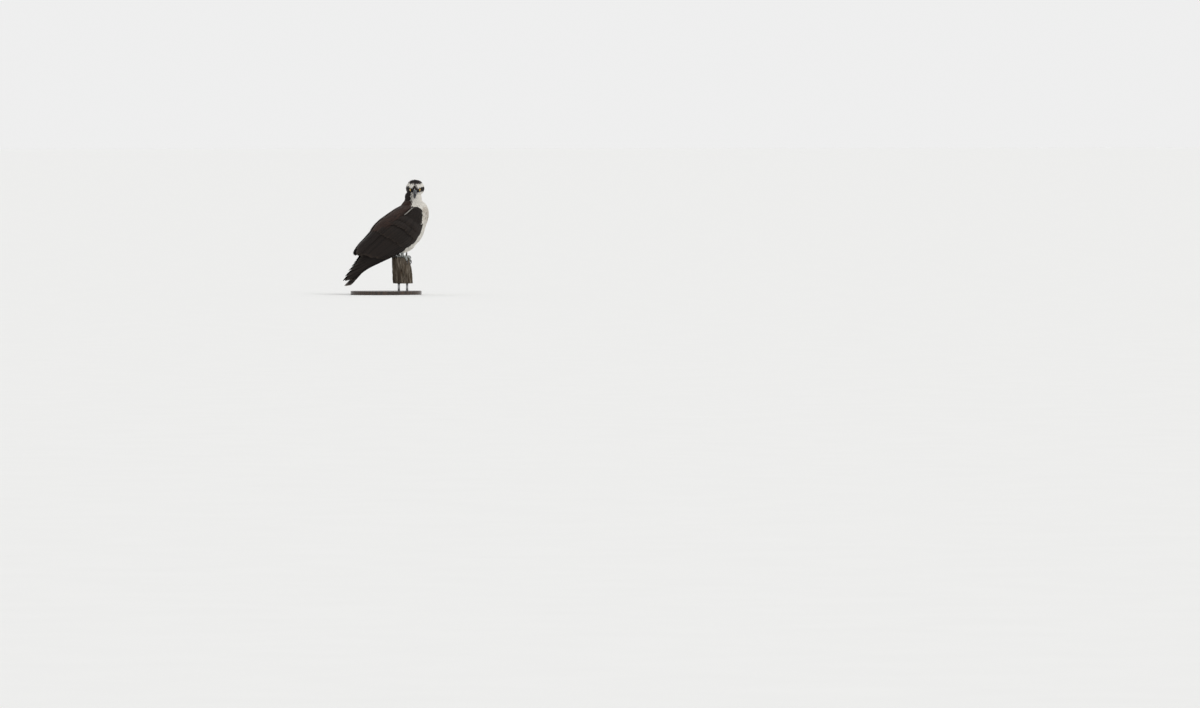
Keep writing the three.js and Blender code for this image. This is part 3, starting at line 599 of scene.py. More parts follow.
def lay_tier(vane, made, rng):
    """Upper and lower points of a tier's feathers, and their roots."""
    along, across = vane.along[None], vane.across[None]
    share = width_share(made["outline"], vane.along)[None]
    share = share * split_edges(rng, len(made["width"]), along, across, 0.55)
    s = mix(made["root"][:, :1], made["tip"][:, :1], along)
    middle = mix(made["root"][:, 1:], made["tip"][:, 1:], along ** made["bend"][:, None])
    form, side = made["form"], made["side"]
    degrees = middle + across * made["width"][:, None] * share / 2 / form.per_degree(s, middle)
    lift = mix(made["lift"][:, :1], made["lift"][:, 1:], np.minimum(1, along * 1.6))
    lift = lift + across * made["tilt"] * share - CAMBER * across ** 2
    upper = form.around(s, degrees, lift + VANE_THICK / 2 + shaft_ridge(vane, 0.35), side)
    lower = form.around(s, degrees, lift - VANE_THICK / 2, side)
    if side < 0:
        upper, lower = lower, upper
    return upper, lower, form.around(made["root"][:, 0], made["root"][:, 1], 0.0, side)


def tiers_mesh(name, vane, tiers, rng):
    laid = [lay_tier(vane, made, rng) for made in tiers]
    upper, lower, roots = (np.concatenate([each[k] for each in laid]) for k in range(3))
    colours, kinds = (np.concatenate([made[key] for made in tiers]) for key in ("colour", "kind"))
    return vane.mesh(name, upper, lower, colours, unwrap(roots), kinds)


# The wing's tiers between the primaries and the scapulars: secondaries, tertials, greater, median
# and lesser coverts, coverts of the primaries, alula. Each row is what tier takes from count on.
WING_TIERS = [
    (13, (-34, -46), (130, 40), (-150, -206), (121, 42), (21, 22), (-5, -1.6), 1.7, "flight"),
    (4, (-34, -30), (42, 14), (-207, -186), (36, 13), (26, 23), (-4, 1.1), 1.5, "flight"),
    (14, (12, -8), (127, 34), (-62, -86), (126, 35), (18, 20), (-4, 1.2), 1.3, "covert"),
    (13, (44, 24), (124, 36), (2, -28), (125, 35), (17, 19), (-4, 1.7), 1.1, "covert"),
    (12, (62, 46), (120, 36), (28, 4), (123, 34), (16, 18), (-4, 1.9), 1.0, "covert"),
    (6, (40, 24), (129, 120), (-22, -44), (130, 126), (13, 15), (-4, 0.6), 1.1, "covert"),
    (3, (70, 58), (123, 118), (18, 4), (129, 124), (12, 14), (-3, 1.0), 1.0, "covert"),
]
PRIMARY_TIPS = [
    (-194, 27), (-204, 26), (-216, 26), (-231, 27), (-249, 29),
    (-271, 33), (-298, 42), (-317, 56), (-308, 74), (-276, 96),
]
# The scapulars' rows from the rump to the shoulder: s of roots and tips, and lift of the tips.
SCAPULAR_ROWS = [
    (-16, -80, 0.9), (0, -64, 1.2), (16, -47, 1.5), (31, -30, 1.8),
    (46, -14, 2.0), (60, 3, 2.1), (73, 20, 2.1), (85, 36, 2.0),
]


def wing_tiers(side, rng):
    """The folded wing's feathers, from the primaries under the others out to the scapulars."""
    primaries = tier(hand_form, side, len(PRIMARY_TIPS), rng, (-62, -38), (104, 141), (0, 0), (0, 0),
                     (24, 16), (-3, 0), 2.0, "flight", BROWN * 0.8, bend=(1.3, 3.0))
    primaries["tip"] = np.array(PRIMARY_TIPS, float)
    made = [primaries]
    for count, root_s, *rest in WING_TIERS:
        made.append(tier(wing_form, side, count, rng, root_s, *rest))
    made += scapulars(side, rng)
    # white feathers that show between the scapulars and the shoulder
    made.append(tier(wing_form, side, 5, rng, (94, 60), (56, 53), (74, 40), (54.5, 52),
                     (4.4, 3.4), (-4, 0.9), 0.3, "body", WHITE * 0.5, spread=0.2, kind=0.0))
    return made


def scapulars(side, rng):
    """Rows set half a feather aside by turns, each with two more feathers over the spine."""
    made = []
    for index, (root, tip, height) in enumerate(SCAPULAR_ROWS):
        shift = 3.4 * (index % 2)
        made.append(tier(wing_form, side, 6, rng, (root + 6, root - 6), (46 - shift, 12 - shift),
                         (tip + 9, tip - 9), (42 - shift, 13 - shift), (21, 18), (-4, height), 1.2,
                         "body", mix(BROWN, MANTLE, 0.75), ragged=7.0))
        made.append(tier(wing_form, side, 2, rng, (root - 8, root - 12), (6 - shift, -1 - shift),
                         (tip - 12, tip - 16), (6 - shift, -1 - shift), (19, 19), (-9, height - 6), 0.6,
                         "body", MANTLE, ragged=7.0))
    return made


# The closed tail, and the rows of its coverts above and below: s of the roots and of the tips.
TAIL_ROOT, TAIL_TIP, TAIL_STEP, TAIL_ARCH = -150, -330, 1.0, 0.0025
TAIL_PAIRS = 6
TAIL_HALF_THICK = 0.25
UPPER_COVERTS = [(-146, -208), (-138, -190)]
UNDER_COVERTS = [(-148, -240), (-144, -226), (-140, -212), (-135, -198), (-130, -184)]
tail_line = curve_through([(-340, 6), (-260, 3), (-200, 0), (-150, 3)])


def tail_feathers(vane, rng):
    """Six feathers to a side, the middle pair on top."""
    uppers, lowers, roots, colours = [], [], [], []
    along, across = vane.along, vane.across
    for side in (1, -1):
        for k in range(TAIL_PAIRS):
            top = side == 1 and k == 0
            inner, outer = (-8.0 if top else 0.6 + 3.6 * k), 13.5 + 3.9 * k
            layer = -1 if top else k
            notches = split_edges(rng, 1, along[None], across[None], 0.4)[0]
            share = width_share("tail", along) * notches
            s = mix(TAIL_ROOT, TAIL_TIP + 2.2 * k, along)
            reach = mix(0.45, 1, np.minimum(1, along * 1.1))
            y = reach * mix(inner, outer, (1 + across * share) / 2)
            d = tail_line(s) - TAIL_ARCH * y * y - layer * TAIL_STEP * np.minimum(1, 0.35 + along)
            upper = in_body(s, d + TAIL_HALF_THICK + shaft_ridge(vane, 0.3), side * y)
            lower = in_body(s, d - TAIL_HALF_THICK, side * y)
            uppers.append(upper if side > 0 else lower)
            lowers.append(lower if side > 0 else upper)
            roots.append(in_body(*np.array([TAIL_ROOT, 20.0, side * outer])))
            colours.append(BROWN * rng.uniform(0.95, 1.3))
    return np.array(uppers), np.array(lowers), np.array(roots), np.array(colours)


def tail_coverts(rng):
    made = []
    for side in SIDES.values():
        for row, (root, tip) in enumerate(UPPER_COVERTS):
            made.append(tier(rump_form, side, 4, rng, (root, root), (72, 8), (tip + 8, tip - 4), (60, 10),
                             (15, 17), (-3, 1.0 + 0.8 * row), 0.8, "covert", MANTLE))
        for row, (root, tip) in enumerate(UNDER_COVERTS):
            made.append(tier(rump_form, side, 7, rng, (root, root), (174, 98), (tip - 4, tip + 18),
                             (174, 112), (11, 10), (-3, 0.4 + 0.5 * row), -0.6, "body", WHITE,
                             spread=0.06, ragged=6.0, kind=0.0))
    return made


# The coat of small feathers, grown from the skin.

# Length, width and spacing of the small feathers in each region, and how far their tips stand up.
REGIONS = {
    "face": (7.6, 2.8, 1.9, 0.5),
    "crown": (19.0, 4.0, 2.6, 3.6),
    "cheek": (11.0, 3.7, 2.3, 0.8),
    "nape": (19.0, 4.8, 3.0, 1.7),
    "neck": (19.0, 5.6, 3.3, 1.4),
    "breast": (26.0, 9.0, 4.8, 1.8),
    "mantle": (31.0, 13.0, 6.2, 2.0),
    "thigh": (22.0, 5.6, 3.6, 1.5),
    "shoulder": (15.0, 7.6, 3.9, 1.5),
}


def region_of(points):
    """The name of the region that each point of the skin lies in."""
    x, _, z = head_coordinates(points).T
    near_head = head_share(points) > 0.5
    _, angle, _ = trunk.place_of(points)
    on_wing = wing_share(points) > 0.5
    low_leg = (points[:, 2] < 72) & (np.abs(points[:, 1]) > 12) & (points[:, 0] > -40)
    return np.select(
        [near_head & (x > -3), near_head & (z > 20), near_head & (x > -26), near_head,
         on_wing, points[:, 2] > 200, low_leg, angle < 78],
        ["face", "crown", "cheek", "nape", "shoulder", "neck", "thigh", "mantle"],
        "breast",
    )


def scatter(mesh, rng, tries):
    """Roots of the small feathers: random points on the skin, none nearer than its spacing."""
    mesh.calc_loop_triangles()
    corners = np.empty(len(mesh.loop_triangles) * 3, np.int32)
    mesh.loop_triangles.foreach_get("vertices", corners)
    triangles = from_frame(points_of(mesh))[corners.reshape(-1, 3)]
    edges = triangles[:, 1:] - triangles[:, :1]
    area = np.linalg.norm(np.cross(edges[:, 0], edges[:, 1]), axis=1)
    chance = area * (1 + 5 * head_share(triangles[:, 0]))
    chosen = rng.choice(len(triangles), tries, p=chance / chance.sum())
    a, b = rng.random((2, tries, 1))
    flip = a + b > 1
    a, b = np.where(flip, 1 - a, a), np.where(flip, 1 - b, b)
    picked = triangles[chosen]
    points = picked[:, 0] + a * (picked[:, 1] - picked[:, 0]) + b * (picked[:, 2] - picked[:, 0])
    regions = region_of(points)
    keep, cells = [], {}
    steps = list(product((-1, 0, 1), repeat=3))
    for index in np.flatnonzero(grows_feathers(points)):
        spacing = REGIONS[regions[index]][2]
        point = points[index]
        i, j, k = (int(v) for v in point // spacing)
        near = (cells.get((regions[index], i + u, j + v, k + w)) for u, v, w in steps)
        if all(other is None or ((point - other) ** 2).sum() > spacing ** 2 for other in near):
            cells[(regions[index], i, j, k)] = point
            keep.append(index)
    return points[keep], regions[keep]


def grows_feathers(points):
    """False where the large feathers, the eyes, the bill or the legs cover the skin."""
    head = head_coordinates(points)
    bare = np.zeros(len(points), bool)
    for side in SIDES.values():
        bare |= np.linalg.norm(head - EYE * np.array([1, side, 1]), axis=1) < BARE_EYE
    bill = (head[:, 0] > 18.0) & (np.hypot(head[:, 1] / 8.6, (head[:, 2] + 6) / 9) < 1)
    s, angle, height = wing_form.place_of(points)
    under_tiers = (wing_share(points) > 0.5) & (s < 40) & (angle > 30) & (angle < wing_low(s) - 20)
    inner = (height < -14) & (s < 95) & (s > -100)
    inner &= (angle > wing_top(s) + 14) & (angle < wing_low(s) - 14)
    return ~(bare | bill | under_tiers | inner)


def grow_coat(vane, skin_tree, roots, regions, rng):
    """Small feathers that follow the skin from their roots along the lie of the plumage."""
    count, columns = len(roots), vane.columns + 1
    sizes = np.array([REGIONS[region] for region in regions])
    length = sizes[:, 0] * rng.uniform(0.82, 1.15, count)
    width = sizes[:, 1] * rng.uniform(0.88, 1.12, count)
    tip_lift = sizes[:, 3] * rng.uniform(0.75, 1.25, count)
    share = width_share("body", vane.row_places)
    sweep = rng.normal(0, 0.10, count)
    upper = np.empty((count, vane.grid, 3))
    lower = np.empty_like(upper)
    flow = lie(roots)
    shares = np.linspace(-1, 1, columns)
    for index in range(count):
        centre, heading = Vector(to_frame(roots[index])), Vector(flow[index])
        spot, normal, _, _ = skin_tree.find_nearest(centre)
        turned = heading + normal.cross(heading) * float(sweep[index])
        for row in range(vane.rows + 1):
            along = float(vane.row_places[row])
            if row:
                step = along - float(vane.row_places[row - 1])
                forward = (turned - normal * turned.dot(normal)).normalized()
                onward = forward * float(length[index] * step * MM)
                spot, normal, _, _ = skin_tree.find_nearest(spot + onward)
            forward = (turned - normal * turned.dot(normal)).normalized()
            beside = forward.cross(normal)
            lift = mix(-ROOT_SUNK, float(tip_lift[index]), along ** 0.8)
            for column in range(columns):
                across = shares[column]
                reach = float(across * width[index] * share[row] / 2)
                edge, out, _, _ = skin_tree.find_nearest(spot + beside * (reach * MM))
                height = (lift - SMALL_CAMBER * float(across) ** 2) * MM
                grid = row * columns + column
                upper[index, grid] = edge + out * (height + HALF_VANE)
                lower[index, grid] = edge + out * (height - HALF_VANE)
    return from_frame(upper), from_frame(lower)


# Materials.

class Nodes:
    """Short ways to add and link the nodes of a material or a world."""

    def __init__(self, made, shader=None):
        self.made, self.tree, self.shader = made, made.node_tree, shader

    def add(self, kind, inputs=None, **settings):
        node = self.tree.nodes.new(kind)
        for name, value in settings.items():
            setattr(node, name, value)
        for name, value in (inputs or {}).items():
            self.feed(node.inputs[name], value)
        return node

    def feed(self, socket, value):
        if isinstance(value, bpy.types.NodeSocket):
            self.tree.links.new(value, socket)
        else:
            socket.default_value = value

    def math(self, operation, *values):
        node = self.add("ShaderNodeMath", operation=operation)
        for socket, value in zip(node.inputs, values):
            self.feed(socket, value)
        return node.outputs[0]

    def times(self, *values):
        return reduce(lambda a, b: self.math("MULTIPLY", a, b), values)

    def sine(self, *values):
        return self.math("SINE", self.times(*values))

    def ramp(self, value, *stops):
        """Colours, or greys as one number, at places from 0 to 1."""
        node = self.add("ShaderNodeValToRGB", {"Fac": value})
        elements = node.color_ramp.elements
        while len(elements) < len(stops):
            elements.new(0.5)
        for element, (place, colour) in zip(elements, stops):
            element.position = place
            element.color = (*np.broadcast_to(colour, 3), 1)
        return node.outputs["Color"]

    def blend(self, share, a, b, how="MIX"):
        """Mixes a with b, which may be a colour of three numbers."""
        node = self.add("ShaderNodeMix", data_type="RGBA", blend_type=how)
        for name, value in (("Factor", share), ("A", a), ("B", (*b, 1) if isinstance(b, tuple) else b)):
            self.feed(node.inputs[name], value)
        return node.outputs["Result"]

    def here(self, stretch=(1, 1, 1)):
        place = self.add("ShaderNodeTexCoord").outputs["Object"]
        return self.add("ShaderNodeMapping", {"Vector": place, "Scale": stretch}).outputs["Vector"]

    def noise(self, scale, detail=4.0, rough=0.55, stretch=(1, 1, 1)):
        inputs = {"Vector": self.here(stretch), "Scale": scale, "Detail": detail, "Roughness": rough}
        return self.add("ShaderNodeTexNoise", inputs).outputs["Fac"]

    def attribute(self, name):
        return self.add("ShaderNodeAttribute", attribute_name=name).outputs["Fac"]

    def tint(self):
        return self.add("ShaderNodeVertexColor", layer_name="tint").outputs["Color"]

    def on_vane(self):
        """Places across and along a feather, from 0 to 1, and how far off its shaft they lie."""
        own = self.add("ShaderNodeUVMap", uv_map="vane").outputs["UV"]
        split = self.add("ShaderNodeSeparateXYZ", {"Vector": own})
        across, along = split.outputs["X"], split.outputs["Y"]
        return across, along, self.math("ABSOLUTE", self.math("SUBTRACT", across, 0.5))

    def finish(self, colour, height=None, strength=0.0, distance=0.0):
        """The material, with its colour and any bump, whose distance is in metres."""
        self.feed(self.shader.inputs["Base Color"], colour)
        if height:
            bump = self.add("ShaderNodeBump", {"Height": height, "Strength": strength, "Distance": distance})
            self.feed(self.shader.inputs["Normal"], bump.outputs["Normal"])
        return self.made


def new_material(name, **sockets):
    """A material's nodes, with the constant values set on the shader's own sockets."""
    made = bpy.data.materials.new(name)
    made.use_nodes = True
    shader = made.node_tree.nodes["Principled BSDF"]
    for socket, value in sockets.items():
        shader.inputs[socket.replace("_", " ")].default_value = value
    return Nodes(made, shader)


def feather_material(name, barbs, depth, sheen):
    """Barbs slant off the shaft. kind above 0 adds a shaft and a pale tip, and below 0 a streak."""
    nodes = new_material(name, Roughness=0.66, Specular_IOR_Level=0.22, Sheen_Weight=sheen,
                         Sheen_Roughness=0.5)
    _, along, off = nodes.on_vane()
    wave = nodes.sine(nodes.math("SUBTRACT", along, nodes.times(off, 0.28)), barbs * 2 * math.pi)
    shade = nodes.math("MULTIPLY_ADD", nodes.noise(420.0, 3.0), 0.4, 0.62)
    shade = nodes.math("MULTIPLY_ADD", wave, depth, shade)
    # painted shade: each feather is darker towards its root and lighter towards its tip, so the overlapping
    # feathers stand apart
    shade = nodes.math("MULTIPLY_ADD", nodes.math("POWER", along, 2.0), 0.28, shade)
    grey = nodes.add("ShaderNodeCombineColor", {"Red": shade, "Green": shade, "Blue": shade}).outputs["Color"]
    body = nodes.blend(1.0, nodes.tint(), grey, "MULTIPLY")
    kind = nodes.attribute("kind")
    large = nodes.math("MAXIMUM", kind, 0.0)
    tip = nodes.ramp(along, (0.0, 0), (0.90, 0), (0.985, 1))
    body = nodes.blend(nodes.times(tip, large, 0.04), body, (0.36, 0.26, 0.18))
    shaft = nodes.math("LESS_THAN", off, 0.02)
    body = nodes.blend(nodes.times(shaft, large, 0.2), body, (0.12, 0.08, 0.05))
    narrow = nodes.ramp(off, (0.0, 1), (0.10, 0.9), (0.26, 0))
    ended = nodes.ramp(along, (0.25, 0), (0.5, 1), (0.9, 1), (1.0, 0.1))
    streaked = nodes.math("MAXIMUM", nodes.times(kind, -0.9), 0.0)
    body = nodes.blend(nodes.times(narrow, ended, streaked), body, (0.075, 0.042, 0.025))
    return nodes.finish(body, wave, 0.28, 0.0002)


def tail_material():
    """Brown feathers with paler bars on the inner webs and a narrow pale tip."""
    nodes = new_material("tail_feather", Roughness=0.64, Specular_IOR_Level=0.22, Sheen_Weight=0.03)
    across, along, off = nodes.on_vane()
    slant = nodes.math("SUBTRACT", along, nodes.times(off, 0.10))
    bars = nodes.sine(nodes.math("ADD", slant, nodes.times(nodes.noise(60.0), 0.03)), 50.0)
    bars = nodes.ramp(bars, (0.0, 0), (0.35, 0), (0.75, 1))
    inner = nodes.ramp(across, (0.0, 1), (0.42, 0.75), (0.56, 0.22))
    body = nodes.blend(nodes.times(bars, inner, 0.55), nodes.tint(), (0.26, 0.20, 0.15))
    tip = nodes.ramp(along, (0.0, 0), (0.955, 0), (0.99, 1))
    body = nodes.blend(nodes.times(tip, 0.5), body, (0.55, 0.48, 0.40))
    return nodes.finish(body, nodes.sine(slant, 620.0), 0.25, 0.0002)


def skin_material():
    nodes = new_material("down", Roughness=0.9, Specular_IOR_Level=0.1)
    fleck = nodes.noise(900.0)
    shade = nodes.ramp(fleck, (0.3, 0.55), (0.7, 1))
    return nodes.finish(nodes.blend(1.0, nodes.tint(), shade, "MULTIPLY"), fleck, 0.6, 0.0006)


def bill_material():
    """Blue-grey round the nostrils, turning to black horn at the tip, with painted shade in the nostril
    slits.
    """
    nodes = new_material("bill_horn", Roughness=0.26, Coat_Weight=0.35, Coat_Roughness=0.12)
    mottle = nodes.math("SUBTRACT", nodes.noise(260.0), 0.5)
    place = nodes.math("MULTIPLY_ADD", mottle, 0.14, nodes.attribute("along"))
    colour = nodes.ramp(place, (0.0, (0.17, 0.20, 0.22)), (0.30, (0.15, 0.18, 0.20)),
                        (0.40, (0.045, 0.05, 0.058)), (0.8, (0.010, 0.010, 0.012)))
    # painted shade: the nostril slits are darkened nearly to black
    colour = nodes.blend(nodes.attribute("slit"), colour, (0.006, 0.006, 0.007))
    return nodes.finish(colour, nodes.noise(700.0, 5.0, stretch=(1, 1, 2.5)), 0.22, 0.0003)


def eye_material():
    """A black pupil in a yellow iris with fine rays and a dark rim."""
    nodes = new_material("eye", Roughness=0.03, Coat_Weight=1.0, Coat_Roughness=0.02)
    rays = nodes.sine(nodes.attribute("turn"), 46.0)
    rays = nodes.math("MULTIPLY_ADD", rays, 0.12, nodes.times(nodes.noise(1400.0), 0.9))
    iris = nodes.ramp(rays, (0.2, (0.46, 0.24, 0.012)), (0.7, (0.80, 0.52, 0.04)))
    ring = nodes.ramp(nodes.attribute("off_gaze"), (0.0, 0), (0.335, 0), (0.36, 1), (0.62, 1), (0.70, 0.02))
    return nodes.finish(nodes.blend(1.0, iris, ring, "MULTIPLY"))


def scaled_material(name, dark, pale, seams, scale, depth):
    """Scaly skin: mottled plates with darker seams."""
    nodes = new_material(name, Roughness=0.5, Specular_IOR_Level=0.4)
    cells = {"Vector": nodes.here(), "Scale": scale, "Randomness": 0.8}
    cell = nodes.add("ShaderNodeTexVoronoi", cells, feature="DISTANCE_TO_EDGE")
    seam = nodes.ramp(cell.outputs["Distance"], (0.0, 0), (0.16, 1))
    plate = nodes.ramp(nodes.noise(160.0), (0.3, dark), (0.7, pale))
    return nodes.finish(nodes.blend(seam, (*seams, 1), plate), seam, 0.7, depth)


def horn_material():
    nodes = new_material("claw_horn", Roughness=0.2, Coat_Weight=0.4, Coat_Roughness=0.1)
    streak = nodes.noise(500.0, 5.0)
    colour = nodes.ramp(streak, (0.3, (0.008, 0.008, 0.009)), (0.75, (0.035, 0.033, 0.032)))
    return nodes.finish(colour, streak, 0.15, 0.0002)


def limb_material():
    """Weathered wood: grey ridges, brown hollows, checks darkened nearly to black as painted shade, and pale
    lichen specks.
    """
    nodes = new_material("weathered_wood", Roughness=0.92, Specular_IOR_Level=0.15)
    grain = nodes.noise(620.0, 6.0, 0.65, (1, 1, 0.07))
    fibre = nodes.ramp(grain, (0.25, (0.045, 0.036, 0.028)), (0.48, (0.17, 0.145, 0.12)),
                       (0.72, (0.33, 0.30, 0.26)))
    patch = nodes.ramp(nodes.noise(75.0, 5.0, stretch=(1, 1, 0.22)), (0.32, (0.32, 0.26, 0.20)),
                       (0.5, (0.62, 0.58, 0.52)), (0.7, (0.98, 0.95, 0.90)))
    colour = nodes.blend(1.0, fibre, patch, "MULTIPLY")
    # painted shade: the checks are darkened nearly to black
    colour = nodes.blend(nodes.times(nodes.attribute("check_shade"), 0.85), colour, (0.018, 0.014, 0.012))
    spots = nodes.ramp(nodes.noise(210.0, 3.0), (0.66, 0), (0.74, 1))
    colour = nodes.blend(nodes.times(spots, 0.25), colour, (0.42, 0.44, 0.36))
    return nodes.finish(colour, grain, 0.9, 0.0012)


def varnished_material():
    nodes = new_material("dark_varnish", Roughness=0.32, Coat_Weight=0.5, Coat_Roughness=0.15)
    wave = nodes.add("ShaderNodeTexWave", {
        "Vector": nodes.here((1, 9, 9)), "Scale": 6.0, "Distortion": 4.0, "Detail": 3.0, "Detail Scale": 2.0,
    }, wave_type="BANDS", bands_direction="Y")
    pores = nodes.noise(900.0, 4.0, stretch=(0.06, 1, 1))
    grain = nodes.math("MULTIPLY_ADD", pores, 0.4, nodes.times(wave.outputs["Fac"], 0.6))
    colour = nodes.ramp(grain, (0.2, (0.022, 0.011, 0.006)), (0.8, (0.055, 0.027, 0.014)))
    return nodes.finish(colour, pores, 0.12, 0.0002)


def steel_material():
    nodes = new_material("brushed_steel", Metallic=1.0, Roughness=0.3)
    brushed = nodes.noise(320.0, 3.0, stretch=(1, 1, 40))
    colour = nodes.ramp(brushed, (0.3, (0.42, 0.43, 0.44)), (0.7, (0.62, 0.62, 0.63)))
    return nodes.finish(colour, brushed, 0.08, 0.0001)


def floor_material(colour):
    nodes = new_material("floor", Roughness=0.95, Specular_IOR_Level=0.05)
    pale = nodes.ramp(nodes.noise(6.0), (0.3, [0.985 * c for c in colour]), (0.7, list(colour)))
    return nodes.finish(pale)


# What a user would change.

class OspreyPlumage(bpy.types.PropertyGroup):
    seed: IntProperty(name="Seed", description="Picks another draw of the loose feathers", default=11, min=0)
    tries: IntProperty(
        name="Tries", description="Random places tried for small feathers", default=190000, min=1000,
    )
    weave: FloatProperty(
        name="Skin grid", description="Size of the skin's mesh", default=0.0026, unit="LENGTH", min=0.001,
    )
    sheen: FloatProperty(
        name="Sheen", description="Soft light caught by the barbs", default=0.03, subtype="FACTOR",
        min=0, max=1,
    )


class OspreyStage(bpy.types.PropertyGroup):
    floor: FloatVectorProperty(
        name="Floor colour", description="Colour of the floor and backdrop", subtype="COLOR",
        default=(0.86, 0.86, 0.85), min=0, max=1,
    )
    sky: FloatProperty(name="Sky light", description="Strength of the light all round", default=0.86, min=0)
    key: FloatProperty(name="Key light", description="Strength of the soft sun", default=1.3, min=0)
    distance: FloatProperty(
        name="Camera distance", description="From the bird", default=40.0, unit="LENGTH", min=1,
    )


class PieceOperator:
    """What the operators below share."""

    bl_options = {"REGISTER", "UNDO"}

    @property
    def plumage(self):
        return bpy.context.scene.osprey_plumage


def applied(thing, name):
    """The mesh of an object with its modifiers applied."""
    shown = thing.evaluated_get(bpy.context.evaluated_depsgraph_get())
    mesh = bpy.data.meshes.new_from_object(shown)
    mesh.name = name
    return mesh


# A bar that fills the nape between head and neck, and the lines of brow and thigh.
NAPE = [(65, 20, 270), (62, 17, 248), (57, 12, 218)]
BROW = [(-9, 25, 7.5), (1, 21.2, 9.4), (10, 14.5, 6.2)]
THIGH = [(24, 40, 76), (16, 39, 54), (-9, 26, 25)]
# How strongly and how often the skin's rough forms are smoothed into one another.
SOFTENING, SOFT_PASSES = 0.5, 9


def nape_size(t):
    return mix(20, 24, t)


def skin_forms(bm):
    """The trunk, neck, head, thighs and wing flesh as overlapping closed forms."""
    def denser_at_ends(low, high, t):
        return (low + high) / 2 - (high - low) / 2 * np.cos(math.pi * t)

    def trunk_place(t, turn):
        s = denser_at_ends(trunk.low, trunk.high, t)
        full = fullness((s - trunk.low) / (trunk.high - trunk.low), 4)
        rise = np.maximum(trunk.tall(s, turn) * full - COAT, 0.01)
        reach = np.maximum(trunk.wide(s) * full - COAT, 0.01)
        return in_body(s, trunk.centre(s) + rise * np.cos(turn), reach * np.sin(turn))

    middle, aside, long, wide = curves_of(NECK)

    def neck_place(t, turn):
        z = mix(NECK[0][0], NECK[-1][0], t)
        full = fullness(t, 6)
        return np.stack([
            middle(z) + np.maximum(long(z) * full - COAT, 0) * np.cos(turn),
            aside(z) + np.maximum(wide(z) * full - COAT, 0) * np.sin(turn), z,
        ], -1)

    centre, up, down, across = curves_of(HEAD)
    low, high = HEAD[0][0], HEAD[-1][0]

    def head_place(t, turn):
        x = denser_at_ends(low, high, t)
        full = fullness((x - low) / (high - low), 5)
        depth = mix(COAT * 0.8, -0.9, smoothstep(-20, 11, x))
        tall = np.where(np.cos(turn) > 0, up(x), down(x))
        rise, reach = np.maximum(tall * full - depth, 0), np.maximum(across(x) * full - depth, 0)
        return in_head(x, reach * np.sin(turn), centre(x) + rise * np.cos(turn))

    ringed(bm, 64, 60, trunk_place)
    ringed(bm, 56, 28, neck_place)
    ringed(bm, 56, 48, head_place)
    bar(bm, NAPE, 32, 28, rounded(nape_size, nape_size, 5), ASIDE)
    girth = curve_through([(0, 24), (0.5, 22), (1, 9)])
    for side in SIDES.values():
        mirror = np.array([1, side, 1])
        bar(bm, head_path(BROW * mirror), 14, 12, rounded(steady(2.3), steady(2.6), 2.4), HEAD_AXES[1])
        bar(bm, THIGH * mirror, 32, 28, rounded(girth, lambda t: 0.9 * girth(t), 5), ASIDE)

        def wing_place(t, turn, side=side):
            s = mix(WING_FRONT - 2, WING_REAR, t)
            full = fullness(t, 5)
            inward = np.sign(np.cos(turn)) * np.abs(np.cos(turn)) ** 0.7
            degrees = mix(wing_top(s), wing_low(s), (1 - inward * full) / 2)
            bulge = np.sign(np.sin(turn)) * np.abs(np.sin(turn)) ** 0.55 * full
            return wing_form.around(s, degrees, -COAT - WING_FLESH + WING_FLESH * bulge, side)

        ringed(bm, 72, 60, wing_place)


class OSPREY_OT_skin(PieceOperator, bpy.types.Operator):
    """Make the one skin under the plumage"""

    bl_idname = "osprey.skin"
    bl_label = "Skin"

    def execute(self, context):
        bm = bmesh.new()
        skin_forms(bm)
        rough = add_object("skin_forms", mesh_from(bm, "skin_forms"))
        remesh = rough.modifiers.new("one surface", "REMESH")
        remesh.mode = "VOXEL"
        remesh.voxel_size = self.plumage.weave
        soften = rough.modifiers.new("soften", "SMOOTH")
        soften.factor, soften.iterations = SOFTENING, SOFT_PASSES
        mesh = applied(rough, "skin")
        bpy.data.objects.remove(rough)
        mesh.polygons.foreach_set("use_smooth", np.ones(len(mesh.polygons), bool))
        points = from_frame(points_of(mesh))
        rng = np.random.default_rng(self.plumage.seed)
        dark = dark_share(points, np.zeros_like(points))[:, None]
        tint = mix(WHITE * 0.9, mix(BROWN, STRIPE, head_share(points)[:, None]), dark)
        paint(mesh, "tint", np.c_[tint, np.ones(len(points))])
        map_verts(mesh, "OFBake", unwrap(points) + 0.0005 * rng.random((len(points), 2)))
        add_piece("skin", mesh, skin_material(), "plumage_white",
                  "torso", "neck", "head", "thigh_right", "thigh_left")
        return {"FINISHED"}


class OSPREY_OT_coat(PieceOperator, bpy.types.Operator):
    """Grow the small feathers from the skin"""

    bl_idname = "osprey.coat"
    bl_label = "Small feathers"

    def execute(self, context):
        rng = np.random.default_rng(self.plumage.seed)
        skin = bpy.data.objects["skin"]
        tree = BVHTree.FromObject(skin, context.evaluated_depsgraph_get())
        roots, regions = scatter(skin.data, rng, self.plumage.tries)
        made = feather_material("small_feather", 13.0, 0.035, self.plumage.sheen)
        for name, members, vane in (
            ("head_feathers", ["face", "crown", "cheek", "nape"], Vane(2, 4)),
            ("breast_feathers", ["breast", "thigh"], Vane(2, 5)),
            ("back_feathers", ["neck", "mantle", "shoulder"], Vane(2, 5)),
        ):
            chosen = np.isin(regions, members)
            upper, lower = grow_coat(vane, tree, roots[chosen], regions[chosen], rng)
            colours, kinds = plumage_colour(roots[chosen], rng)
            mesh = vane.mesh(name, upper, lower, colours, unwrap(roots[chosen]), kinds)
            add_piece(name, mesh, made, "plumage_white")
        return {"FINISHED"}


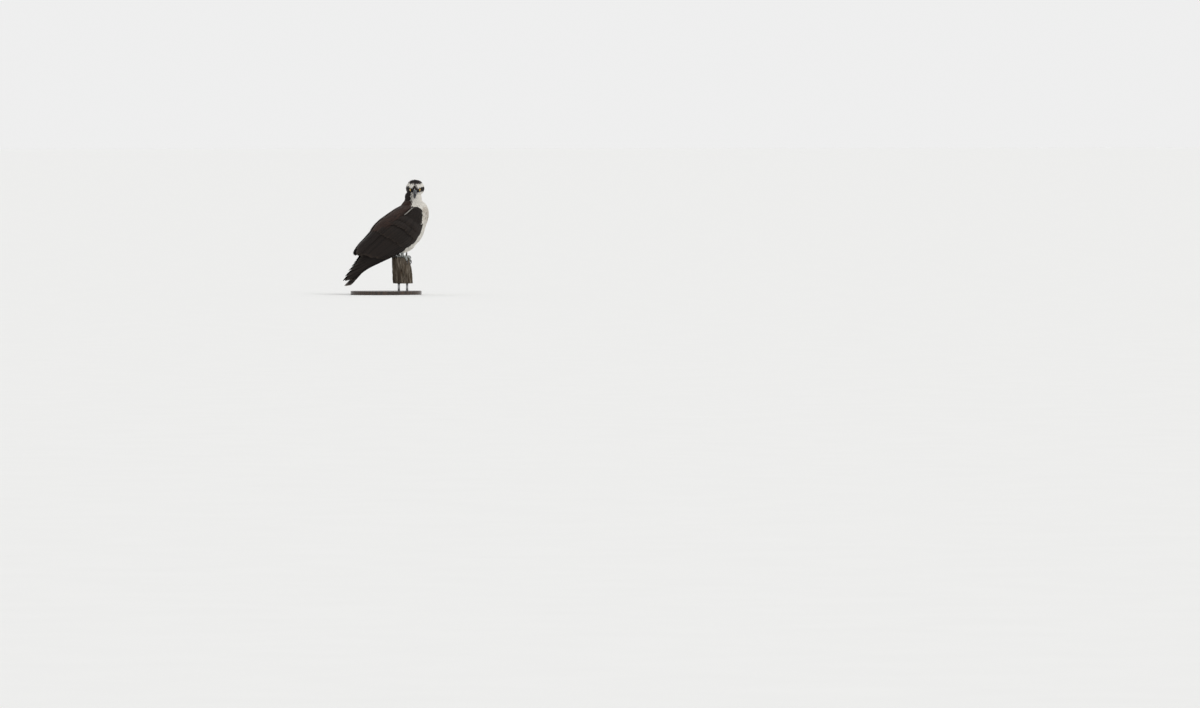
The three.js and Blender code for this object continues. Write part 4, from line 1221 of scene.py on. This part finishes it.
class OSPREY_OT_wings(PieceOperator, bpy.types.Operator):
    """Lay the large feathers of both folded wings"""

    bl_idname = "osprey.wings"
    bl_label = "Wings"

    def execute(self, context):
        rng = np.random.default_rng(self.plumage.seed + 1)
        made = feather_material("wing_feather", 40.0, 0.08, self.plumage.sheen)
        for side_name, side in SIDES.items():
            name = f"wing_feathers_{side_name}"
            mesh = tiers_mesh(name, Vane(6, 30), wing_tiers(side, rng), rng)
            add_piece(name, mesh, made, "plumage_brown", f"wing_{side_name}")
        return {"FINISHED"}


class OSPREY_OT_tail(PieceOperator, bpy.types.Operator):
    """Lay the closed tail and its coverts"""

    bl_idname = "osprey.tail"
    bl_label = "Tail"

    def execute(self, context):
        rng = np.random.default_rng(self.plumage.seed + 2)
        vane = Vane(6, 44)
        upper, lower, roots, colours = tail_feathers(vane, rng)
        mesh = vane.mesh("tail_feathers", upper, lower, colours, unwrap(roots), np.ones(len(roots)))
        add_piece("tail_feathers", mesh, tail_material(), "plumage_brown", "tail")
        mesh = tiers_mesh("tail_coverts", Vane(4, 12), tail_coverts(rng), rng)
        made = feather_material("tail_covert", 22.0, 0.05, self.plumage.sheen)
        add_piece("tail_coverts", mesh, made, "plumage_white")
        return {"FINISHED"}


BILL_LINE = [(10, 0, -2), (22, 0, -2.2), (32, 0, -4.5), (39.5, 0, -10.5), (42.6, 0, -18), (42, 0, -25.5)]
BILL_TALL = [(0, 8.2), (0.35, 8.2), (0.6, 6.7), (0.8, 4.2), (0.93, 1.9), (1, 0.3)]
BILL_WIDE = [(0, 8.4), (0.35, 7.4), (0.6, 5.6), (0.8, 3.4), (0.93, 1.5), (1, 0.3)]
LOWER_LINE = [(5, 0, -11.4), (12, 0, -12.0), (20, 0, -12.8), (29, 0, -13.3), (35, 0, -12.7)]
LOWER_TALL = [(0, 5.4), (0.5, 4.2), (1, 1.2)]
LOWER_WIDE = [(0, 7.8), (0.5, 6.4), (1, 2)]
GAPE = [(22, 6.8, -9.4), (13, 11.6, -11.0), (6, 15.6, -12.6)]
# A nostril's slit, as x and z in the head's frame, and how deep it is pressed in.
SLIT_START, SLIT_END = np.array([20.2, -3.8]), np.array([23.8, 0.6])
SLIT_DEPTH = 1.7


class OSPREY_OT_bill(PieceOperator, bpy.types.Operator):
    """Shape the hooked bill with its soft base and slit nostrils"""

    bl_idname = "osprey.bill"
    bl_label = "Bill"

    def execute(self, context):
        made = bill_material()
        tall, wide = curve_through(BILL_TALL), curve_through(BILL_WIDE)

        def upper_size(t):
            soft_base = 1 + 0.04 * smoothstep(0.38, 0.32, t) - 0.16 * smoothstep(0.16, 0.04, t)
            full = fullness(np.minimum(t, 0.5), 8) * soft_base
            return tall(t) * full, wide(t) * full

        bm = bmesh.new()
        bar(bm, head_path(BILL_LINE), 128, 180, upper_size, HEAD_AXES[1])
        self.press_nostrils(bm)
        self.finish_half(bm, "bill_top", made, 0.0, "bill_upper")

        bm = bmesh.new()
        size = rounded(curve_through(LOWER_TALL), curve_through(LOWER_WIDE), 6)
        bar(bm, head_path(LOWER_LINE), 48, 40, size, HEAD_AXES[1])
        for side in SIDES.values():
            corner = head_path(GAPE * np.array([1, side, 1]))
            bar(bm, corner, 16, 24, rounded(steady(1.1), steady(1.5), 2.5), HEAD_AXES[1])
        self.finish_half(bm, "bill_bottom", made, 0.1, "bill_lower")
        return {"FINISHED"}

    @staticmethod
    def slit_share(head):
        """1 inside the two slanting nostril slits and 0 away from them."""
        line = SLIT_END - SLIT_START
        flat = head[:, [0, 2]] - SLIT_START
        t = np.clip(flat @ line / (line @ line), 0, 1)
        gap = np.linalg.norm(flat - t[:, None] * line, axis=1)
        return smoothstep(1.5, 0.5, gap) * (np.abs(head[:, 1]) > 1)

    @classmethod
    def press_nostrils(cls, bm):
        points = head_coordinates(np.array([vert.co for vert in bm.verts]))
        points[:, 1] -= np.sign(points[:, 1]) * SLIT_DEPTH * cls.slit_share(points)
        for vert, point in zip(bm.verts, in_head(*points.T)):
            vert.co = point

    @classmethod
    def finish_half(cls, bm, name, made, start, node):
        mesh = mesh_from(bm, name)
        head = head_coordinates(from_frame(points_of(mesh)))
        x, _, z = head.T
        # the slit mask that takes the painted shade of the nostrils
        note(mesh, "slit", cls.slit_share(head) * (z > -8))
        note(mesh, "along", start + np.clip((x - 10 + np.maximum(-12 - z, 0)) / 42, 0, 1))
        add_piece(name, mesh, made, "bill", node)


class OSPREY_OT_eyes(PieceOperator, bpy.types.Operator):
    """Set the eyes and the lids round them"""

    bl_idname = "osprey.eyes"
    bl_label = "Eyes and lids"

    def execute(self, context):
        eye_made = eye_material()
        lid_made = scaled_material("lid_skin", (0.03, 0.03, 0.034), (0.055, 0.055, 0.06),
                                   (0.016, 0.016, 0.017), 2600.0, 0.00008)
        for name, side in SIDES.items():
            mirror = np.array([1, side, 1])
            sight, centre = EYE_LOOKS * mirror, EYE * mirror
            upright = unit(np.array([0.0, 0.0, 1.0]) - sight[2] * sight)
            aside = np.cross(sight, upright)

            def on_ball(t, turn):
                bulge = EYE_RADIUS + CORNEA * smoothstep(0.24, 0.10, t)
                round_sight = np.cos(turn)[:, None] * upright + np.sin(turn)[:, None] * aside
                out = np.cos(math.pi * t)[:, None] * sight + np.sin(math.pi * t)[:, None] * round_sight
                return in_head(*(centre + out * bulge[:, None]).T)

            bm = bmesh.new()
            ringed(bm, 64, 64, on_ball)
            mesh = mesh_from(bm, f"eyeball_{name}")
            away = head_coordinates(from_frame(points_of(mesh))) - centre
            note(mesh, "off_gaze", np.arccos(np.clip(unit(away) @ sight, -1, 1)))
            note(mesh, "turn", np.arctan2(away @ aside, away @ upright))
            add_piece(f"eyeball_{name}", mesh, eye_made, "eye", f"eye_{name}")

            bm = bmesh.new()
            forward, outward = EYE_RADIUS * math.cos(LID_RIM), EYE_RADIUS * math.sin(LID_RIM)
            profile = []
            for a in np.linspace(0, 2 * math.pi, 14, endpoint=False):
                ahead = forward - 0.1 + 0.6 * math.sin(a) - 0.3 * math.cos(a)
                off = outward + 0.35 + 0.95 * math.cos(a) + 0.25 * math.sin(a)
                profile.append(bm.verts.new(in_head(*(centre + sight * ahead + upright * off))))
            edges = [bm.edges.new(pair) for pair in zip(profile, profile[1:] + profile[:1])]
            bmesh.ops.spin(bm, geom=profile + edges, cent=in_head(*centre), axis=sight @ HEAD_AXES,
                           angle=2 * math.pi, steps=48, use_merge=True)
            add_piece(f"lids_{name}", mesh_from(bm, f"lids_{name}"), lid_made, "bill")
        return {"FINISHED"}


# Feet: the toes lie on the limb and bend down over its rim, as in the solids.
# The foot's middle, and the size of its pad. Each toe: heading, and length without and of its claw.
FOOT = np.array([-6.0, 23.0, 7.0])
PAD = np.array([8.4, 8.2, 7.2])
TOES = {
    "inner": (-26, 34, 25), "middle": (10, 42, 24), "outer": (62, 35, 22), "hind": (184, 24, 26),
}
TOE_RADIUS, TOE_TIP, TOE_BEND, TOE_HEIGHT = 5.0, 3.9, 10.0, 5.4
TOE_STEEPEST, TOE_FROM_RIM = math.radians(75), 5
CLAW_RADIUS, CLAW_LIFT, CLAW_TURN, CLAW_SUNK = 3.1, math.radians(34), math.radians(112), 2.5
SHANK = [(-11, 26.5, 38), (-8.5, 24.7, 22), FOOT]
LIMB_X, LIMB_LONG, LIMB_WIDE, LIMB_LEAN, LIMB_LENGTH = -6.0, 35.0, 40.0, 0.1, 104.0
PATH_STEPS = np.linspace(0, 1, 9)


def toe_line(side, heading):
    """Points of a toe's centre line, and its slope, at distances from the foot."""
    way = np.array([math.cos(math.radians(heading)), side * math.sin(math.radians(heading)), 0.0])
    foot = FOOT * np.array([1, side, 0])
    px, py = (foot[0] - LIMB_X) / LIMB_LONG, foot[1] / LIMB_WIDE
    wx, wy = way[0] / LIMB_LONG, way[1] / LIMB_WIDE
    a, b, c = wx * wx + wy * wy, px * wx + py * wy, px * px + py * py - 1
    flat = (-b + math.sqrt(b * b - a * c)) / a - TOE_FROM_RIM

    def at(distance):
        slope = np.clip((distance - flat) / TOE_BEND, 0, TOE_STEEPEST)
        rest = np.maximum(0, distance - flat - slope * TOE_BEND)
        run = np.minimum(distance, flat) + TOE_BEND * np.sin(slope) + rest * np.cos(slope)
        drop = TOE_BEND * (1 - np.cos(slope)) + rest * np.sin(slope)
        return foot + way * run + np.array([0, 0, TOE_HEIGHT - drop]), -slope

    return at, way


def scutes(t, count, depth):
    """Overlapping plates along a toe or shank, as a factor on its size."""
    return 1 + depth * (1 - np.mod(t * count, 1.0))


class OSPREY_OT_legs(PieceOperator, bpy.types.Operator):
    """Make the scaly shanks and toes, and the claws"""

    bl_idname = "osprey.legs"
    bl_label = "Legs and claws"

    def execute(self, context):
        skin_made = scaled_material("leg_skin", (0.36, 0.38, 0.37), (0.50, 0.52, 0.49),
                                    (0.22, 0.23, 0.22), 780.0, 0.0004)
        claw_made = horn_material()
        for name, side in SIDES.items():
            mirror = np.array([1, side, 1])
            bm = bmesh.new()
            bar(bm, SHANK * mirror, 40, 90, self.shank_size, ASIDE)
            mesh = mesh_from(bm, f"shank_{name}")
            add_piece(f"scaled_shank_{name}", mesh, skin_made, "leg_skin", f"shank_{name}")

            bm = bmesh.new()
            ringed(bm, 32, 24, lambda t, turn: FOOT * mirror + PAD * np.stack([
                np.sin(math.pi * t) * np.cos(turn), np.sin(math.pi * t) * np.sin(turn), np.cos(math.pi * t),
            ], -1))
            for heading, length, _ in TOES.values():
                self.toe(bm, side, heading, length)
            mesh = mesh_from(bm, f"toes_{name}")
            add_piece(f"toes_{name}", mesh, skin_made, "leg_skin", f"foot_{name}")

            bm = bmesh.new()
            for heading, length, claw in TOES.values():
                self.claw(bm, side, heading, length, claw)
            mesh = mesh_from(bm, f"claws_{name}")
            add_piece(f"claws_{name}", mesh, claw_made, "claw", *(f"claw_{name}_{toe}" for toe in TOES))
        return {"FINISHED"}

    @staticmethod
    def shank_size(t):
        full = fullness(t, 8) * scutes(t, 9, 0.05)
        return mix(6.6, 6.2, t) * full, mix(6.2, 5.6, t) * full

    @staticmethod
    def toe(bm, side, heading, length):
        at, way = toe_line(side, heading)

        def size(t):
            joints = 1 + 0.10 * np.cos(t * 6 * math.pi)
            radius = mix(TOE_RADIUS, TOE_TIP, t) * joints * fullness(t, 5)
            return radius * scutes(t, 12, 0.06), radius * scutes(t, 12, 0.03)

        points = [at(share * length)[0] for share in PATH_STEPS]
        bar(bm, points, 32, 80, size, np.cross([0, 0, 1], way))

    @staticmethod
    def claw(bm, side, heading, length, claw):
        at, way = toe_line(side, heading)
        point, slope = at(length - CLAW_SUNK)
        radius, start = claw / CLAW_TURN, slope + CLAW_LIFT
        points = []
        for t in PATH_STEPS:
            angle = start - CLAW_TURN * t
            run = radius * (math.sin(start) - math.sin(angle))
            rise = radius * (math.cos(angle) - math.cos(start))
            points.append(point + way * run + np.array([0, 0, rise]))

        def size(t):
            thick = (CLAW_RADIUS * np.power(1 - t, 0.8) + 0.25) * fullness(np.minimum(t, 0.5), 6) * (t < 1)
            return thick * 1.1, thick * 0.9

        bar(bm, points, 24, 40, size, np.cross([0, 0, 1], way))


# The limb's large splinters, as x, y, height and radius, and how many small ones stand round its rim.
SPLINTERS = [
    (21, 0, 34, 6.2), (24, 17, 12, 5.5), (-36, -14, 9, 6), (-32, 22, 13, 6), (6, 36, 10, 6),
    (-24, -33, 8, 6), (-4, 39, 12, 5), (-40, 3, 7, 6), (12, -36, 6, 5.5),
]
SMALL_SPLINTERS = 34
# Shares of its radius that the limb's checks, grain and knots stand in or out, and its broken top.
CHECK_DEPTH, GRAIN_DEPTH, KNOT_HEIGHT, TAPER = 0.05, 0.035, 0.04, 0.0012
BROKEN_FROM, BROKEN_FULLY = 0.85, 0.95


def round_limb(turn, z, size, height, shift=0.0):
    """Places for a noise that has no seam round the limb."""
    return [Vector((size * math.cos(a), size * math.sin(a), h / height + shift)) for a, h in zip(turn, z)]


def check_lines(turn, z):
    """A noise that is near 0 along the checks, where the dry wood has split."""
    return np.abs([noise.noise(place) for place in round_limb(turn, z, 7, 90, 9)])


def furrows(turn, z):
    """Depth of the furrows round the limb, as a share of its radius."""
    waves = [(0.045, 7, 1 / 26), (0.03, 13, -1 / 17), (0.02, 23, 1 / 11)]
    return sum(depth * np.sin(count * turn + z * lean) for depth, count, lean in waves)


class OSPREY_OT_limb(PieceOperator, bpy.types.Operator):
    """Carve the weathered limb with its furrows and broken top"""

    bl_idname = "osprey.limb"
    bl_label = "Dead limb"

    def execute(self, context):
        bm = bmesh.new()
        ringed(bm, 220, 150, self.limb_place)
        for splinter in SPLINTERS:
            self.splinter(bm, *splinter)
        rng = np.random.default_rng(self.plumage.seed + 3)
        turns = np.linspace(0, 2 * math.pi, SMALL_SPLINTERS, endpoint=False)
        for turn in turns + rng.uniform(-0.06, 0.06, SMALL_SPLINTERS):
            x, y = (LIMB_X + 33 * math.cos(turn)) / 0.93, 37.5 * math.sin(turn) / 0.93
            self.splinter(bm, x, y, rng.uniform(2.5, 7.5), rng.uniform(2.2, 4.4))
        cut = bmesh.ops.bisect_plane(bm, geom=bm.verts[:] + bm.edges[:] + bm.faces[:],
                                     plane_co=(0, 0, -LIMB_LENGTH), plane_no=(0, 0, -1), clear_outer=True)
        open_edges = [item for item in cut["geom_cut"] if isinstance(item, bmesh.types.BMEdge)]
        bmesh.ops.holes_fill(bm, edges=open_edges)
        mesh = mesh_from(bm, "limb")
        # marks the checks for their painted shade
        note(mesh, "check_shade", self.check_shade(from_frame(points_of(mesh))))
        add_piece("limb", mesh, limb_material(), "weathered_wood", "perch_limb")
        return {"FINISHED"}

    @staticmethod
    def limb_place(t, turn):
        z = mix(-LIMB_LENGTH - 20, 1, t)
        grain = np.array([noise.fractal(place, 0.9, 2.1, 5) for place in round_limb(turn, z, 3.2, 55)])
        cracks = -CHECK_DEPTH * smoothstep(0.10, 0.0, check_lines(turn, z))
        shape = 1 + furrows(turn, z) + GRAIN_DEPTH * grain + cracks
        swell = 1 + KNOT_HEIGHT * np.sin(z / 15 + 2 * turn) - TAPER * z
        notch = 2.2 * np.sin(3 * turn + 1) + 1.5 * np.sin(8 * turn) + 2.0 * grain
        broken = notch * smoothstep(BROKEN_FROM, BROKEN_FULLY, t)
        lift = np.where((t > BROKEN_FROM) & (t < 1), broken, 0)
        size = fullness(t, 14) * swell * shape
        return np.stack([
            LIMB_X - LIMB_LEAN * z + LIMB_LONG * size * np.cos(turn),
            LIMB_WIDE * size * np.sin(turn),
            z + lift - 1.0 * (t == 1),
        ], -1)

    @staticmethod
    def splinter(bm, x, y, height, radius):
        line = [
            (x * 0.78, y * 0.78, -20), (x * 0.9, y * 0.9, (height - 20) / 2), (x + 0.05 * height, y, height),
        ]
        bar(bm, line, 14, 26, lambda t: (
            radius * fullness(np.minimum(t, 0.5), 6) * (1.02 - t ** 1.6) * (1 + 0.05 * np.sin(t * 31)),
            radius * (1.02 - t) * (1 + 0.05 * np.sin(t * 23 + 1)),
        ), ASIDE)

    # How much painted shade each point of the limb takes in the checks.
    @staticmethod
    def check_shade(points):
        x, y, z = points.T
        turn = np.arctan2(y / LIMB_WIDE, (x - LIMB_X + LIMB_LEAN * z) / LIMB_LONG)
        return smoothstep(0.09, 0.02, check_lines(turn, z)) * 0.8


BASE_SIDES, BASE_BEVEL = 144, 0.0025
ROD_SIDES, ROD_RADIUS, ROD_BEVEL = 48, 0.005, 0.0004


def ease_rims(bm, offset, segments):
    """Rounds the edges that lie level."""
    level = [edge for edge in bm.edges if abs(edge.verts[0].co.z - edge.verts[1].co.z) < 1e-6]
    bmesh.ops.bevel(bm, geom=level, offset=offset, affect="EDGES", segments=segments, profile=0.5,
                    material=-1)


class OSPREY_OT_stand(PieceOperator, bpy.types.Operator):
    """Turn the oval base and its two rods"""

    bl_idname = "osprey.stand"
    bl_label = "Display stand"

    def execute(self, context):
        low, high = box_of("stand_base")
        size = high - low
        bm = bmesh.new()
        rim = bmesh.ops.create_circle(bm, cap_ends=True, segments=BASE_SIDES, radius=0.5)["verts"]
        bmesh.ops.scale(bm, vec=(size[0], size[1], 1), verts=rim)
        top = bmesh.ops.extrude_face_region(bm, geom=bm.faces[:])["geom"]
        raised = [item for item in top if isinstance(item, bmesh.types.BMVert)]
        bmesh.ops.translate(bm, vec=(0, 0, size[2]), verts=raised)
        ease_rims(bm, BASE_BEVEL, 4)
        bmesh.ops.recalc_face_normals(bm, faces=bm.faces)
        name = "stand_base_varnished"
        add_piece(name, plain_mesh(bm, name), varnished_material(), "stand_wood", "stand_base")
        made = steel_material()
        for node in ("stand_rod_1", "stand_rod_2"):
            low, high = box_of(node)
            bm = bmesh.new()
            bmesh.ops.create_cone(bm, cap_ends=True, segments=ROD_SIDES, radius1=ROD_RADIUS,
                                  radius2=ROD_RADIUS, depth=high[2] - low[2])
            ease_rims(bm, ROD_BEVEL, 2)
            bmesh.ops.translate(bm, vec=(low + high) / 2, verts=bm.verts)
            for face in bm.faces:
                face.smooth = len(face.verts) == 4
            name = f"{node}_brushed"
            add_piece(name, plain_mesh(bm, name), made, "stand_steel", node)
        return {"FINISHED"}


# The photograph's view: its size in pixels, the size of one at the bird, and where the feet stand in it.
PIXEL = 0.0041
IMAGE = (1200, 708)
FEET_PIXEL = (402, 258)
VIEW_TURN = math.radians(-20)
VIEW_HEIGHT = 0.75
SENSOR = 36.0
FLOOR_SIZE, FARTHEST = 150, 1000
SUN_WAY, SUN_WIDTH = (-0.35, 0.55, -0.75), math.radians(35)


class OSPREY_OT_stage(PieceOperator, bpy.types.Operator):
    """Set the pale floor, the soft lights and the camera"""

    bl_idname = "osprey.stage"
    bl_label = "Stage"

    def execute(self, context):
        stage = context.scene.osprey_stage
        bm = bmesh.new()
        bmesh.ops.create_grid(bm, x_segments=1, y_segments=1, size=FLOOR_SIZE)
        mesh = plain_mesh(bm, "floor")
        mesh.materials.append(floor_material(stage.floor))
        add_object("floor", mesh)
        self.add_lights(context, stage)
        self.add_camera(context, stage)
        context.scene.view_settings.view_transform = "Standard"
        return {"FINISHED"}

    @staticmethod
    def add_lights(context, stage):
        """A sky that is brighter behind the bird, and a soft sun."""
        world = bpy.data.worlds.new("soft_sky")
        world.use_nodes = True
        sky = Nodes(world)
        way = sky.add("ShaderNodeTexCoord").outputs["Generated"]
        split = sky.add("ShaderNodeSeparateXYZ", {"Vector": way})
        behind = sky.math("MULTIPLY_ADD", split.outputs["Y"], 0.5, 0.5)
        background = world.node_tree.nodes["Background"]
        sky.feed(background.inputs["Color"], sky.ramp(behind, (0.30, 0.55), (0.62, 1.0)))
        background.inputs["Strength"].default_value = stage.sky
        context.scene.world = world
        sun = bpy.data.lights.new("soft_key", "SUN")
        sun.energy, sun.angle = stage.key, SUN_WIDTH
        add_object("soft_key", sun).rotation_euler = Vector(SUN_WAY).to_track_quat("-Z", "Y").to_euler()

    @staticmethod
    def add_camera(context, stage):
        """Looks from the photograph's side, with the feet at their place in its frame."""
        right = Vector((math.cos(VIEW_TURN), math.sin(VIEW_TURN), 0))
        toward = Vector((math.sin(VIEW_TURN), -math.cos(VIEW_TURN), 0))
        centre = Vector(to_frame(np.zeros(3))) + right * (IMAGE[0] / 2 - FEET_PIXEL[0]) * PIXEL
        centre.z += (FEET_PIXEL[1] - IMAGE[1] / 2) * PIXEL
        place = centre + toward * stage.distance
        place.z = VIEW_HEIGHT
        away = centre - place
        lens = bpy.data.cameras.new("camera")
        lens.sensor_width, lens.clip_end = SENSOR, FARTHEST
        lens.lens = SENSOR * away.length / (IMAGE[0] * PIXEL)
        camera = add_object("camera", lens)
        camera.location = place
        camera.rotation_euler = away.to_track_quat("-Z", "Y").to_euler()
        context.scene.camera = camera


PIECES = (
    OSPREY_OT_skin, OSPREY_OT_coat, OSPREY_OT_wings, OSPREY_OT_tail, OSPREY_OT_bill,
    OSPREY_OT_eyes, OSPREY_OT_legs, OSPREY_OT_limb, OSPREY_OT_stand, OSPREY_OT_stage,
)


class OSPREY_PT_panel(bpy.types.Panel):
    """The osprey's pieces, in the order they are made"""

    bl_label = "Osprey"
    bl_space_type = "VIEW_3D"
    bl_region_type = "UI"
    bl_category = "Osprey"

    def draw(self, context):
        for group in (context.scene.osprey_plumage, context.scene.osprey_stage):
            for name in group.__annotations__:
                self.layout.prop(group, name)
        for piece in PIECES:
            self.layout.operator(piece.bl_idname)


CLASSES = (OspreyPlumage, OspreyStage, *PIECES, OSPREY_PT_panel)


def register():
    for each in CLASSES:
        bpy.utils.register_class(each)
    bpy.types.Scene.osprey_plumage = PointerProperty(type=OspreyPlumage)
    bpy.types.Scene.osprey_stage = PointerProperty(type=OspreyStage)


def unregister():
    del bpy.types.Scene.osprey_stage
    del bpy.types.Scene.osprey_plumage
    for each in reversed(CLASSES):
        bpy.utils.unregister_class(each)


def corners(box):
    return [[float(value) for value in corner] for corner in box]


def main():
    register()
    for piece in PIECES:
        operator = piece.bl_idname.split(".")[1]
        getattr(bpy.ops.osprey, operator)()


if __name__ == "__main__":
    main()
